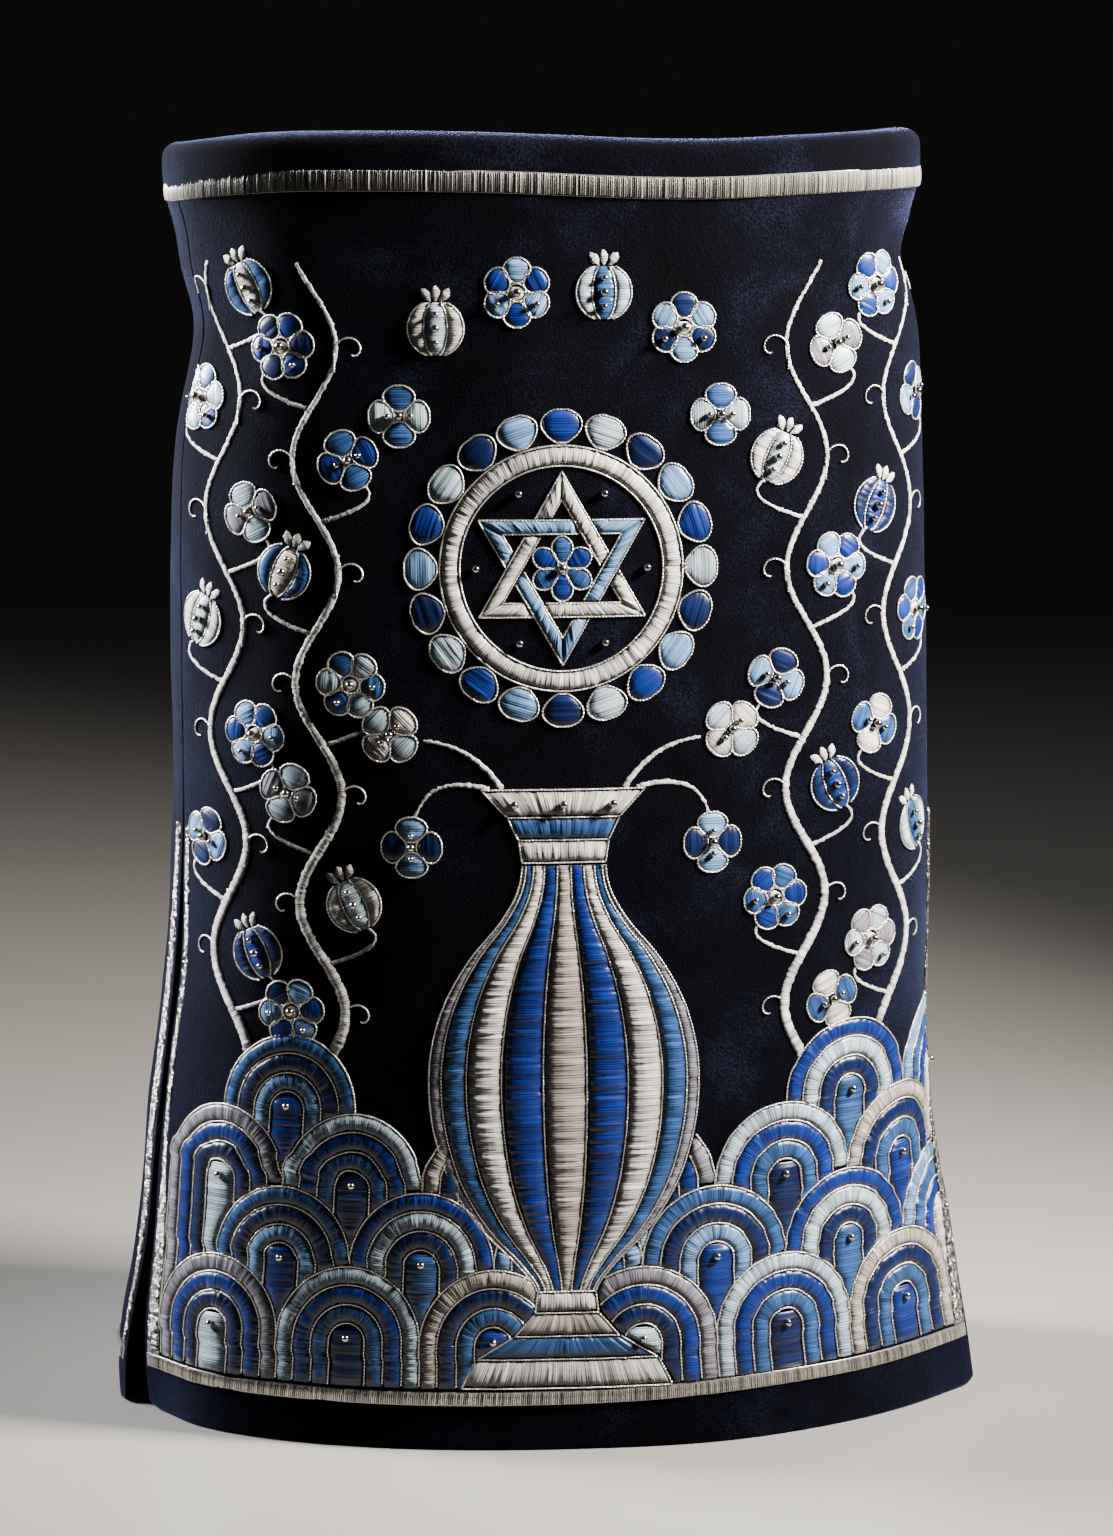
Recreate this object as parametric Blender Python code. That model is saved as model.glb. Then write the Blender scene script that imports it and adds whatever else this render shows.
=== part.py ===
"""A velvet torah mantle, standing on its hem: an oval cover, closed at the top and open below.

Metres, +Z up, front towards -Y, origin on the floor under the middle of the oval.
The cloth is a front and a back panel, joined down both sides and slit below. A rolled heading
and a stiffened top with two stave holes close it above, and silver satin borders lie on it.
"""

import math

import bmesh
import bpy
import numpy as np

# Cloth and seams
VELVET_THICKNESS = 0.0025
BORDER_THICKNESS = 0.0012
TOP_THICKNESS = 0.0030
SEAM_GAP = 0.0003
BORDER_LIFT = 0.0005

# Heights of the seams and borders
SLIT_TOP = 0.300
HEM_BAND_LOW = 0.0222
HEM_BAND_HIGH = 0.0292
RIM_NOMINAL = 0.6165
BAND_HALF_WIDTH = 0.0053
HEADING_HEIGHT = 0.0233
HEADING_ROLL = 0.0075
HEADING_LIP = 0.0020

# Borders beside the slits
SIDE_BORDER_WIDTH = 0.0080
SIDE_BORDER_MARGIN = 0.0027

# The slits' lower corners are rounded, so the hem rises a little there
CORNER_LIFT = 0.0030
CORNER_REACH = 0.0100

# Where the side seams run, as the depth of each seam line
SEAM_DEPTH = {"left": -0.0295, "right": 0.0120}

# Stave holes in the top, for the two rollers of a scroll
STAVE_HOLE_RADIUS = 0.0225
STAVE_SPACING = 0.1800
STAVE_HOLE_SIDES = 28
TOP_HEIGHT = 0.6345
TOP_SLOPE = 0.014

# Mesh density
PANEL_COLUMNS = {"front": 30, "back": 22}
LOOP_POINTS = 1440
END_CROWDING = 0.055

# The oval at each height: half-widths to the left and right, depths to the front and back, and
# how square the oval is (2 is an ellipse). Above the last row the wall is upright.
SECTION_COLUMNS = ("height", "left", "right", "front", "back", "square")
SECTIONS = (
    (0.000, 0.2212, 0.2258, 0.1215, 0.1216, 2.03),
    (0.020, 0.2216, 0.2224, 0.1197, 0.1192, 2.03),
    (0.045, 0.2184, 0.2180, 0.1172, 0.1156, 2.04),
    (0.070, 0.2130, 0.2144, 0.1149, 0.1120, 2.05),
    (0.100, 0.2084, 0.2081, 0.1125, 0.1100, 2.06),
    (0.130, 0.2064, 0.2026, 0.1103, 0.1080, 2.09),
    (0.160, 0.2036, 0.1978, 0.1082, 0.1060, 2.12),
    (0.200, 0.1972, 0.1966, 0.1056, 0.1032, 2.16),
    (0.260, 0.1912, 0.1972, 0.1018, 0.0992, 2.22),
    (0.320, 0.1884, 0.1962, 0.0980, 0.0955, 2.28),
    (0.380, 0.1890, 0.1941, 0.0942, 0.0920, 2.34),
    (0.440, 0.1880, 0.1930, 0.0904, 0.0885, 2.40),
    (0.475, 0.1876, 0.1914, 0.0882, 0.0862, 2.44),
    (0.500, 0.1851, 0.1904, 0.0866, 0.0845, 2.47),
    (0.525, 0.1796, 0.1878, 0.0850, 0.0830, 2.50),
    (0.544, 0.1739, 0.1853, 0.0838, 0.0820, 2.52),
    (0.560, 0.1759, 0.1812, 0.0828, 0.0812, 2.54),
    (0.577, 0.1808, 0.1792, 0.0817, 0.0804, 2.56),
    (0.595, 0.1825, 0.1834, 0.0806, 0.0796, 2.58),
    (0.604, 0.1846, 0.1840, 0.0801, 0.0791, 2.60),
    (0.611, 0.1868, 0.1866, 0.0797, 0.0787, 2.60),
)

# Height of the seam under the heading, which sags a little: at the front and at the back of the
# oval for each place from left to right
RIM_COLUMNS = ("x", "front", "back")
RIM = (
    (-0.190, 0.6116, 0.6116),
    (-0.170, 0.6144, 0.6124),
    (-0.140, 0.6172, 0.6142),
    (-0.082, 0.6181, 0.6146),
    (-0.020, 0.6170, 0.6138),
    (0.034, 0.6146, 0.6118),
    (0.068, 0.6140, 0.6110),
    (0.123, 0.6161, 0.6122),
    (0.158, 0.6176, 0.6150),
    (0.190, 0.6188, 0.6188),
)

# How far the front hem's band is sewn above its usual height, from left to right
HEM_WAVE_COLUMNS = ("x", "lift")
HEM_WAVE = (
    (-0.150, 0.0000),
    (-0.030, 0.0000),
    (0.030, 0.0008),
    (0.095, 0.0028),
    (0.160, 0.0029),
    (0.215, 0.0032),
)
HEM_WAVE_TOP = 0.075

# How far the two panels stand back from the seam line inside each slit, and how far their edges
# stand out of the oval (minus is turned in)
SLIT_COLUMNS = ("height", "front_gap", "back_gap", "front_out", "back_out")
SLITS = {
    "left": (
        (0.000, 0.0115, 0.0010, -0.0016, 0.0024),
        (0.027, 0.0092, 0.0011, -0.0010, 0.0018),
        (0.050, 0.0066, 0.0012, -0.0002, 0.0012),
        (0.100, 0.0026, 0.0014, 0.0000, 0.0008),
        (0.150, 0.0010, 0.0012, -0.0018, -0.0002),
        (0.200, 0.0006, 0.0008, -0.0010, -0.0002),
        (0.230, 0.0014, 0.0006, -0.0026, 0.0000),
        (0.260, 0.0008, 0.0003, -0.0010, 0.0000),
        (0.300, 0.0000, 0.0000, 0.0000, 0.0000),
    ),
    "right": (
        (0.000, 0.0370, 0.0040, 0.0044, -0.0036),
        (0.050, 0.0315, 0.0040, 0.0034, -0.0030),
        (0.100, 0.0205, 0.0034, 0.0012, -0.0024),
        (0.130, 0.0138, 0.0028, 0.0002, -0.0018),
        (0.160, 0.0085, 0.0020, 0.0000, -0.0010),
        (0.200, 0.0042, 0.0012, 0.0000, -0.0004),
        (0.260, 0.0012, 0.0004, 0.0000, 0.0000),
        (0.300, 0.0000, 0.0000, 0.0000, 0.0000),
    ),
}
EDGE_TURN_REACH = 0.016

# Soft folds: a row is one fold on one panel, measured along the cloth from the seam on one side.
# Lean turns the fold's line from upright, away from that seam at the top. Minus is a trough.
FOLD_COLUMNS = ("panel", "side", "along", "height", "length", "width", "lean", "rise")
FOLDS = (
    ("front", "left", 0.026, 0.000, 0.055, 0.020, 0.0, -0.0050),
    ("front", "left", 0.058, 0.575, 0.050, 0.024, 8.0, 0.0032),
    ("front", "left", 0.030, 0.540, 0.040, 0.020, 12.0, -0.0026),
    ("front", "left", 0.118, 0.515, 0.110, 0.034, -14.0, -0.0030),
    ("front", "left", 0.075, 0.400, 0.120, 0.028, 4.0, 0.0022),
    ("front", "left", 0.062, 0.200, 0.110, 0.026, -6.0, 0.0026),
    ("front", "left", 0.110, 0.215, 0.120, 0.030, -4.0, -0.0020),
    ("front", "right", 0.024, 0.586, 0.040, 0.0075, 64.0, -0.0058),
    ("front", "right", 0.060, 0.576, 0.042, 0.0095, 56.0, 0.0034),
    ("front", "right", 0.016, 0.552, 0.040, 0.012, 34.0, 0.0026),
    ("front", "right", 0.090, 0.520, 0.100, 0.032, 16.0, -0.0024),
    ("front", "right", 0.070, 0.330, 0.160, 0.034, 2.0, 0.0020),
    ("front", "right", 0.160, 0.420, 0.180, 0.045, 5.0, -0.0018),
    ("front", "right", 0.085, 0.060, 0.070, 0.030, 0.0, -0.0018),
    ("front", "right", 0.205, 0.000, 0.110, 0.050, 0.0, 0.0032),
    ("back", "left", 0.060, 0.550, 0.060, 0.020, 25.0, -0.0050),
    ("back", "left", 0.095, 0.545, 0.065, 0.020, 20.0, 0.0034),
    ("back", "left", 0.110, 0.160, 0.170, 0.030, 3.0, 0.0060),
    ("back", "left", 0.175, 0.130, 0.160, 0.028, -2.0, -0.0048),
    ("back", "right", 0.050, 0.570, 0.050, 0.016, 40.0, -0.0046),
    ("back", "right", 0.085, 0.555, 0.060, 0.018, 34.0, 0.0034),
    ("back", "right", 0.120, 0.150, 0.180, 0.032, -3.0, 0.0064),
    ("back", "right", 0.190, 0.140, 0.160, 0.030, 2.0, -0.0050),
)
FOLD_FADE = 0.018

# The closed side seams hold the cloth, so that folds are weaker beside them
SEAM_SHARE = 0.35
SEAM_REACH = 0.020

# The sag of the heading's seam reaches down the panels to this height, and the heading's line
# changes from the front's to the back's over this depth
SAG_LOW = 0.450
SIDE_BLEND = 0.100

# Rows of points up the panels, closer together where the outline bends
PANEL_ROWS = (
    0.000, 0.012, HEM_BAND_LOW, HEM_BAND_HIGH, 0.050, 0.078, 0.110, 0.145, 0.185, 0.225, 0.262,
    SLIT_TOP, 0.350, 0.405, 0.452, 0.488, 0.515, 0.535, 0.552, 0.566, 0.579, 0.592, 0.604,
    RIM_NOMINAL - BAND_HALF_WIDTH, RIM_NOMINAL,
)

# Colours of the finished pieces, with roughness and metallic values
VELVET_LOOK = ((0.012, 0.014, 0.045, 1.0), 0.90, 0.0)
SILVER_LOOK = ((0.56, 0.54, 0.52, 1.0), 0.38, 0.55)


def clear_scene():
    for item in list(bpy.data.objects):
        bpy.data.objects.remove(item, do_unlink=True)


def smooth_read(rows, column, place):
    """Reads one column of a table at a place, on a smooth curve through the table's rows."""
    places = np.array([row[0] for row in rows], dtype=float)
    values = np.array([row[column] for row in rows], dtype=float)
    slopes = np.gradient(values, places)
    place = np.clip(np.asarray(place, dtype=float), places[0], places[-1])
    index = np.clip(np.searchsorted(places, place) - 1, 0, len(places) - 2)
    span = places[index + 1] - places[index]
    t = (place - places[index]) / span
    start = values[index] * (2 * t**3 - 3 * t**2 + 1) + slopes[index] * span * (t**3 - 2 * t**2 + t)
    end = values[index + 1] * (3 * t**2 - 2 * t**3) + slopes[index + 1] * span * (t**3 - t**2)
    return start + end


def smooth_step(value):
    value = np.clip(value, 0.0, 1.0)
    return value * value * (3.0 - 2.0 * value)


def section_size(height):
    """The oval's five sizes at one height."""
    return [float(smooth_read(SECTIONS, column, height)) for column in range(1, len(SECTION_COLUMNS))]


def oval_loop(height):
    """Points round the oval, from the left extreme past the front, with lengths and outward sides."""
    left, right, front, back, square = section_size(height)
    angle = np.linspace(math.pi, 3.0 * math.pi, LOOP_POINTS, endpoint=False)
    across = np.sign(np.cos(angle)) * np.abs(np.cos(angle)) ** (2.0 / square)
    deep = np.sign(np.sin(angle)) * np.abs(np.sin(angle)) ** (2.0 / square)
    x = np.where(across < 0.0, left, right) * across
    y = np.where(deep < 0.0, front, back) * deep
    points = np.stack([x, y], axis=1)
    ahead = np.roll(points, -1, axis=0) - np.roll(points, 1, axis=0)
    ahead /= np.linalg.norm(ahead, axis=1)[:, None]
    outward = np.stack([ahead[:, 1], -ahead[:, 0]], axis=1)
    steps = np.linalg.norm(np.roll(points, -1, axis=0) - points, axis=1)
    length = np.concatenate([[0.0], np.cumsum(steps)])
    return points, outward, length


def seam_places(height):
    """Lengths round the oval at which the left and the right seam line lie, and the whole length."""
    points, _, length = oval_loop(height)
    half = LOOP_POINTS // 2
    quarter = LOOP_POINTS // 4
    depths = points[:, 1]
    left = np.interp(-SEAM_DEPTH["left"], -depths[: quarter + 1], length[: quarter + 1])
    right = np.interp(SEAM_DEPTH["right"], depths[quarter : half + 1], length[quarter : half + 1])
    return float(left), float(right), float(length[-1])


def oval_at(height, place):
    """Points and outward sides of the oval at lengths round it."""
    points, outward, length = oval_loop(height)
    place = np.mod(place, length[-1])
    closed = np.vstack([points, points[:1]])
    facing = np.vstack([outward, outward[:1]])
    spot = np.stack([np.interp(place, length, closed[:, axis]) for axis in (0, 1)], axis=-1)
    side = np.stack([np.interp(place, length, facing[:, axis]) for axis in (0, 1)], axis=-1)
    side /= np.linalg.norm(side, axis=-1)[..., None]
    return spot, side


def rim_height(points):
    """Height of the heading's seam over points of the oval, blended from front to back."""
    front = smooth_read(RIM, RIM_COLUMNS.index("front"), points[..., 0])
    back = smooth_read(RIM, RIM_COLUMNS.index("back"), points[..., 0])
    share = smooth_step(0.5 + points[..., 1] / SIDE_BLEND)
    return front * (1.0 - share) + back * share


def slit_read(side, name, height):
    if height >= SLIT_TOP:
        return 0.0
    return float(smooth_read(SLITS[side], SLIT_COLUMNS.index(name), height))


def panel_span(panel, height):
    """Lengths round the oval at which a panel starts and ends, inside its slits and seams."""
    left, right, whole = seam_places(height)
    half_gap = SEAM_GAP / 2.0
    gap = {side: slit_read(side, panel + "_gap", height) + half_gap for side in ("left", "right")}
    if panel == "front":
        return left + gap["left"], right - gap["right"]
    return right + gap["right"], left + whole - gap["left"]


def fold_rise(panel, height, place):
    """How far the panel's folds and slit edges stand out of the oval."""
    left, right, whole = seam_places(height)
    start, end = panel_span(panel, height)
    if panel == "front":
        from_side = {"left": place - left, "right": right - place}
        from_edge = {"left": place - start, "right": end - place}
    else:
        from_side = {"right": place - right, "left": left + whole - place}
        from_edge = {"right": place - start, "left": end - place}
    rise = np.zeros_like(place)
    for row in FOLDS:
        fold = dict(zip(FOLD_COLUMNS, row))
        if fold["panel"] != panel:
            continue
        lean = math.radians(fold["lean"])
        beside = from_side[fold["side"]] - fold["along"]
        above = height - fold["height"]
        down_line = (above * math.cos(lean) + beside * math.sin(lean)) / fold["length"]
        over_line = (beside * math.cos(lean) - above * math.sin(lean)) / fold["width"]
        rise = rise + fold["rise"] * np.exp(-(down_line**2) - over_line**2)
    rise = rise * smooth_step((RIM_NOMINAL - BAND_HALF_WIDTH - height) / FOLD_FADE)
    seam_hold = np.minimum(from_side["left"], from_side["right"])
    if height >= SLIT_TOP:
        rise = rise * smooth_step(SEAM_SHARE + seam_hold / SEAM_REACH)
    for side in ("left", "right"):
        turned = slit_read(side, panel + "_out", height)
        rise = rise + turned * np.exp(-((from_edge[side] / EDGE_TURN_REACH) ** 2))
    return rise


def column_places(panel, height):
    """Lengths round the oval of a panel's columns: its edges, its side borders and between them."""
    start, end = panel_span(panel, height)
    across = SIDE_BORDER_MARGIN + SIDE_BORDER_WIDTH * np.array((0.0, 0.5, 1.0))
    even = np.linspace(0.0, 1.0, PANEL_COLUMNS[panel] + 1)
    crowded = even - END_CROWDING * np.sin(2.0 * math.pi * even)
    first = start + across[-1]
    last = end - across[-1]
    middle = first + (last - first) * crowded[1:-1]
    return np.concatenate([[start], start + across, middle, end - across[::-1], [end]])


def panel_points(panel, height, place, out):
    """Points of a panel's cloth at one nominal height and lengths round it, moved outwards."""
    start, end = panel_span(panel, height)
    spot, side = oval_at(height, place)
    rise = fold_rise(panel, height, place) + out
    flat = spot + side * rise[:, None]
    lift = rim_height(spot) - RIM_NOMINAL
    z = height + lift * smooth_step((height - SAG_LOW) / (RIM_NOMINAL - SAG_LOW))
    if panel == "front":
        wave = smooth_read(HEM_WAVE, HEM_WAVE_COLUMNS.index("lift"), spot[:, 0])
        above_band = (height - HEM_BAND_HIGH) / (HEM_WAVE_TOP - HEM_BAND_HIGH)
        z = z + wave * smooth_step(height / HEM_BAND_LOW) * smooth_step(1.0 - above_band)
    corner = np.minimum(place - start, end - place) / CORNER_REACH
    low_share = max(0.0, 1.0 - height / HEM_BAND_LOW)
    z = z + CORNER_LIFT * np.clip(1.0 - corner, 0.0, 1.0) ** 2 * low_share
    return np.column_stack([flat, z])


def new_object(name, bm, look):
    bmesh.ops.recalc_face_normals(bm, faces=bm.faces)
    mesh = bpy.data.meshes.new(name)
    bm.to_mesh(mesh)
    bm.free()
    mesh.shade_smooth()
    mesh.set_sharp_from_angle(angle=math.radians(50.0))
    colour, roughness, metallic = look
    material = bpy.data.materials.new(name)
    material.use_nodes = True
    shader = material.node_tree.nodes["Principled BSDF"]
    shader.inputs["Base Color"].default_value = colour
    shader.inputs["Roughness"].default_value = roughness
    shader.inputs["Metallic"].default_value = metallic
    material.diffuse_color = colour
    mesh.materials.append(material)
    item = bpy.data.objects.new(name, mesh)
    bpy.context.scene.collection.objects.link(item)
    return item


def cloth_solid(name, outer, inner, look, ring=False):
    """A closed sheet between two grids of points. A ring's last column joins its first."""
    rows, columns = outer.shape[:2]
    bm = bmesh.new()
    faces = [[[bm.verts.new(point) for point in row] for row in grid] for grid in (outer, inner)]
    last = columns if ring else columns - 1
    for row in range(rows - 1):
        for column in range(last):
            beside = (column + 1) % columns
            for sheet in faces:
                bm.faces.new((sheet[row][column], sheet[row][beside],
                              sheet[row + 1][beside], sheet[row + 1][column]))
    front, back = faces
    for row in (0, rows - 1):
        for column in range(last):
            beside = (column + 1) % columns
            bm.faces.new((front[row][column], front[row][beside], back[row][beside], back[row][column]))
    if not ring:
        for column in (0, columns - 1):
            for row in range(rows - 1):
                bm.faces.new((front[row][column], front[row + 1][column],
                              back[row + 1][column], back[row][column]))
    return new_object(name, bm, look)


def sheet_points(panel, heights, columns, out):
    """A grid of points on a panel's cloth, at some heights and some of its columns."""
    grid = []
    for height in heights:
        place = column_places(panel, height)[columns]
        grid.append(panel_points(panel, height, place, out))
    return np.array(grid)


def make_panel(panel):
    """A whole panel of velvet, from its hem to the seam under the heading."""
    outer = sheet_points(panel, PANEL_ROWS, slice(None), 0.0)
    inner = sheet_points(panel, PANEL_ROWS, slice(None), -VELVET_THICKNESS)
    outer[-1, :, 2] -= SEAM_GAP / 2.0
    inner[-1, :, 2] -= SEAM_GAP / 2.0
    return cloth_solid(panel + "_panel", outer, inner, VELVET_LOOK)


def make_border(name, panel, heights, columns):
    """A strip of satin stitch lying on some of a panel's rows and columns."""
    outer = sheet_points(panel, heights, columns, BORDER_LIFT + BORDER_THICKNESS)
    inner = sheet_points(panel, heights, columns, BORDER_LIFT)
    return cloth_solid(name, outer, inner, SILVER_LOOK)


def make_hem_border(panel):
    """The satin band above a panel's hem, from slit to slit."""
    heights = (HEM_BAND_LOW, HEM_BAND_HIGH)
    return make_border(panel + "_hem_border", panel, heights, slice(1, -1))


def make_side_border(panel, side):
    """The satin strip up one edge of a slit, standing on the hem's band."""
    low = HEM_BAND_HIGH + SEAM_GAP
    high = SLIT_TOP - SEAM_GAP
    heights = [low] + [row for row in PANEL_ROWS if low < row < high] + [high]
    at_start = (panel == "front") == (side == "left")
    columns = slice(1, 4) if at_start else slice(-4, -1)
    return make_border(panel + "_side_border_" + side, panel, heights, columns)


def ring_points(out, above_rim):
    """Points round the oval at the heading, a given way out and above its seam."""
    left, right, _ = seam_places(RIM_NOMINAL)
    front = column_places("front", RIM_NOMINAL)[1:-1]
    back = column_places("back", RIM_NOMINAL)[1:-1]
    spot, side = oval_at(RIM_NOMINAL, np.concatenate([[left], front, [right], back]))
    flat = spot + side * out
    return np.column_stack([flat, rim_height(spot) + above_rim])


def heading_profile(inset):
    """The heading's section as (out, up) pairs: up its wall, over the roll and in to its lip."""
    straight = HEADING_HEIGHT - HEADING_ROLL
    profile = [(-inset, SEAM_GAP / 2.0), (-inset, straight * 0.5)]
    radius = HEADING_ROLL - inset
    for turn in np.linspace(0.0, 90.0, 5):
        angle = math.radians(turn)
        profile.append((radius * math.cos(angle) - HEADING_ROLL, straight + radius * math.sin(angle)))
    profile.append((-HEADING_ROLL - HEADING_LIP, straight + radius))
    return profile


def make_heading():
    outer = np.array([ring_points(out, up) for out, up in heading_profile(0.0)])
    inner = np.array([ring_points(out, up) for out, up in heading_profile(VELVET_THICKNESS)])
    return cloth_solid("heading", outer, inner, VELVET_LOOK, ring=True)


def make_top_band():
    """The satin band that hides the seam between the panels and the heading."""
    edges = (-BAND_HALF_WIDTH, BAND_HALF_WIDTH)
    outer = np.array([ring_points(BORDER_LIFT + BORDER_THICKNESS, up) for up in edges])
    inner = np.array([ring_points(BORDER_LIFT, up) for up in edges])
    return cloth_solid("top_band", outer, inner, SILVER_LOOK, ring=True)


def stave_cutter(x, height):
    bm = bmesh.new()
    bmesh.ops.create_cone(bm, cap_ends=True, segments=STAVE_HOLE_SIDES, radius1=STAVE_HOLE_RADIUS,
                          radius2=STAVE_HOLE_RADIUS, depth=TOP_THICKNESS * 6.0)
    cutter = new_object("stave_cutter", bm, VELVET_LOOK)
    cutter.location = (x, 0.0, height)
    cutter.hide_render = True
    cutter.display_type = "WIRE"
    return cutter


def make_top_panel():
    """The stiffened velvet top: flat in the middle, its rim following the heading's lip."""
    edge_out = -HEADING_ROLL - HEADING_LIP - SEAM_GAP
    edge = ring_points(edge_out, HEADING_HEIGHT - SEAM_GAP)
    middle = ring_points(edge_out - TOP_SLOPE, 0.0)
    middle[:, 2] = TOP_HEIGHT
    bm = bmesh.new()
    layers = []
    for drop in (0.0, TOP_THICKNESS):
        shift = np.array((0.0, 0.0, -drop))
        layers.append([[bm.verts.new(point + shift) for point in ring] for ring in (edge, middle)])
    count = len(edge)
    for rim, inner in layers:
        bm.faces.new(inner)
        for column in range(count):
            beside = (column + 1) % count
            bm.faces.new((rim[column], rim[beside], inner[beside], inner[column]))
    upper, lower = layers[0][0], layers[1][0]
    for column in range(count):
        beside = (column + 1) % count
        bm.faces.new((upper[column], upper[beside], lower[beside], lower[column]))
    top = new_object("top_panel", bm, VELVET_LOOK)
    for name, x in (("left", -STAVE_SPACING / 2.0), ("right", STAVE_SPACING / 2.0)):
        cut = top.modifiers.new("stave_hole_" + name, "BOOLEAN")
        cut.operation = "DIFFERENCE"
        cut.object = stave_cutter(x, TOP_HEIGHT - TOP_THICKNESS / 2.0)
    return top


def make_mantle():
    clear_scene()
    for panel in ("front", "back"):
        make_panel(panel)
        make_hem_border(panel)
        for side in ("left", "right"):
            make_side_border(panel, side)
    make_heading()
    make_top_band()
    make_top_panel()


make_mantle()
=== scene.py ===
# %% [markdown]
# # An embroidered velvet torah mantle
# A mantle is a tall cloth cover that drops over a rolled scroll. This lesson dresses its plain
# frame model: velvet with a pile for the panels, satin stitched silver bands along the seams, and
# padded embroidery with couched cord and beads on the front. The frame gives every place and size,
# so each piece here is measured off the frame's own cloth instead of being set by hand.

# %% Load the frame
import math

import bmesh
import bpy
import numpy as np
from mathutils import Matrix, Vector, noise
from mathutils.bvhtree import BVHTree


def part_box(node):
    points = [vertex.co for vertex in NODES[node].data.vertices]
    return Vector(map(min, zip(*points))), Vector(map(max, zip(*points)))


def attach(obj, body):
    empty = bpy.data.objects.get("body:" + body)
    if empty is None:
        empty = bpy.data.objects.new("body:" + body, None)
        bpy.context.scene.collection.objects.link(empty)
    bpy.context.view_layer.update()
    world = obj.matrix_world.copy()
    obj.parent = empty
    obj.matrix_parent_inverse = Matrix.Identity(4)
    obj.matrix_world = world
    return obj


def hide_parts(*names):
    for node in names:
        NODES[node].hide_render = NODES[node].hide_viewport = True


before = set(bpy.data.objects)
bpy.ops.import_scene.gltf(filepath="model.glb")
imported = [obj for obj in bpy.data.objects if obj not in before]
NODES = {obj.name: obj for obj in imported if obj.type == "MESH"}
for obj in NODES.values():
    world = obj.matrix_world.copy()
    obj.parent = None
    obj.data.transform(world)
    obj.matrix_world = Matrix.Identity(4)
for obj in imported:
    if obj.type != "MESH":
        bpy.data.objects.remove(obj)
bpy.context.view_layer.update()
SEED = 7
rng = np.random.default_rng(SEED)
print("frame pieces:", sorted(NODES))

# %% [markdown]
# ## Camera
# A product picture like this is taken from about two metres with a longish lens, a little to the
# left and from just above the top of the cloth. The camera is placed by its distance, its angle to
# the left and its downward tilt, so that the three can be read and changed one by one.

# %% Camera
PICTURE = (1113, 1536)
DISTANCE = 2.0
TO_THE_LEFT = math.radians(5.6)
TILT_DOWN = math.radians(9.79)
CAMERA_HEIGHT = 0.665
SIDE_STEP = 0.0062
FOCAL_PIXELS = 3985.0
SENSOR = 36.0

camera_data = bpy.data.cameras.new("camera")
camera_data.sensor_width = SENSOR
camera_data.sensor_fit = "AUTO"
camera_data.lens = FOCAL_PIXELS * SENSOR / max(PICTURE)
camera_data.clip_end = 50.0
camera = bpy.data.objects.new("camera", camera_data)
camera.location = (
    SIDE_STEP * math.cos(TO_THE_LEFT) - DISTANCE * math.sin(TO_THE_LEFT),
    -SIDE_STEP * math.sin(TO_THE_LEFT) - DISTANCE * math.cos(TO_THE_LEFT),
    CAMERA_HEIGHT,
)
camera.rotation_euler = (math.pi / 2.0 - TILT_DOWN, 0.0, -TO_THE_LEFT)
bpy.context.scene.collection.objects.link(camera)
bpy.context.scene.camera = camera
print("lens: %.1f mm" % camera_data.lens)

# %% [markdown]
# ## Helpers for pieces and materials
# Most pieces end as a plain mesh at the world's origin, with their place in the mesh itself. Node
# materials are easier to read when one small function adds a node, sets its sockets and makes its
# links. A few more wrap the nodes that come up again and again, so that each finish is a few lines.

# %% Helpers for pieces
def put(name, data):
    """An object at the origin, in the scene."""
    piece = bpy.data.objects.new(name, data)
    bpy.context.scene.collection.objects.link(piece)
    return piece


def new_piece(name, points, faces, material):
    """A smooth mesh object from plain lists of points and faces."""
    mesh = bpy.data.meshes.new(name)
    mesh.from_pydata([tuple(p) for p in points], [], [tuple(f) for f in faces])
    mesh.update()
    mesh.shade_smooth()
    mesh.materials.append(material)
    return put(name, mesh)


def settle(piece):
    """Turns a piece and its modifiers into a plain mesh."""
    graph = bpy.context.evaluated_depsgraph_get()
    piece.data = bpy.data.meshes.new_from_object(piece.evaluated_get(graph))
    piece.modifiers.clear()


def read_points(mesh):
    """The places of a mesh's points, three numbers a row."""
    spots = np.empty(len(mesh.vertices) * 3, np.float32)
    mesh.vertices.foreach_get("co", spots)
    return spots.reshape(-1, 3)


def lengths_along(path):
    """How far along a path each of its points lies."""
    steps = np.linalg.norm(np.diff(path, axis=0), axis=1)
    return np.concatenate([[0.0], np.cumsum(steps)])


def unit(rows):
    """Directions, each made one long."""
    return rows / np.linalg.norm(rows, axis=1)[:, None]


print("piece helpers ready")

# %% Helpers for node trees
def add_node(tree, kind, inputs=None, **settings):
    """Adds a node, sets its properties, and fills or links its input sockets."""
    node = tree.nodes.new(kind)
    for key, value in settings.items():
        setattr(node, key, value)
    for key, value in (inputs or {}).items():
        if isinstance(value, bpy.types.NodeSocket):
            tree.links.new(value, node.inputs[key])
        else:
            node.inputs[key].default_value = value
    return node


def maths(tree, operation, first, second):
    return add_node(tree, "ShaderNodeMath", {0: first, 1: second}, operation=operation).outputs[0]


def scaled(tree, vector, factor):
    node = add_node(tree, "ShaderNodeVectorMath", {0: vector, "Scale": factor}, operation="SCALE")
    return node.outputs[0]


def noise_at(tree, place, scale, detail, **more):
    inputs = {"Vector": place, "Scale": scale, "Detail": detail, **more}
    return add_node(tree, "ShaderNodeTexNoise", inputs).outputs["Fac"]


def map_range(tree, value, old, new):
    inputs = {"Value": value, "From Min": old[0], "From Max": old[1],
              "To Min": new[0], "To Max": new[1]}
    return add_node(tree, "ShaderNodeMapRange", inputs).outputs["Result"]


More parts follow.
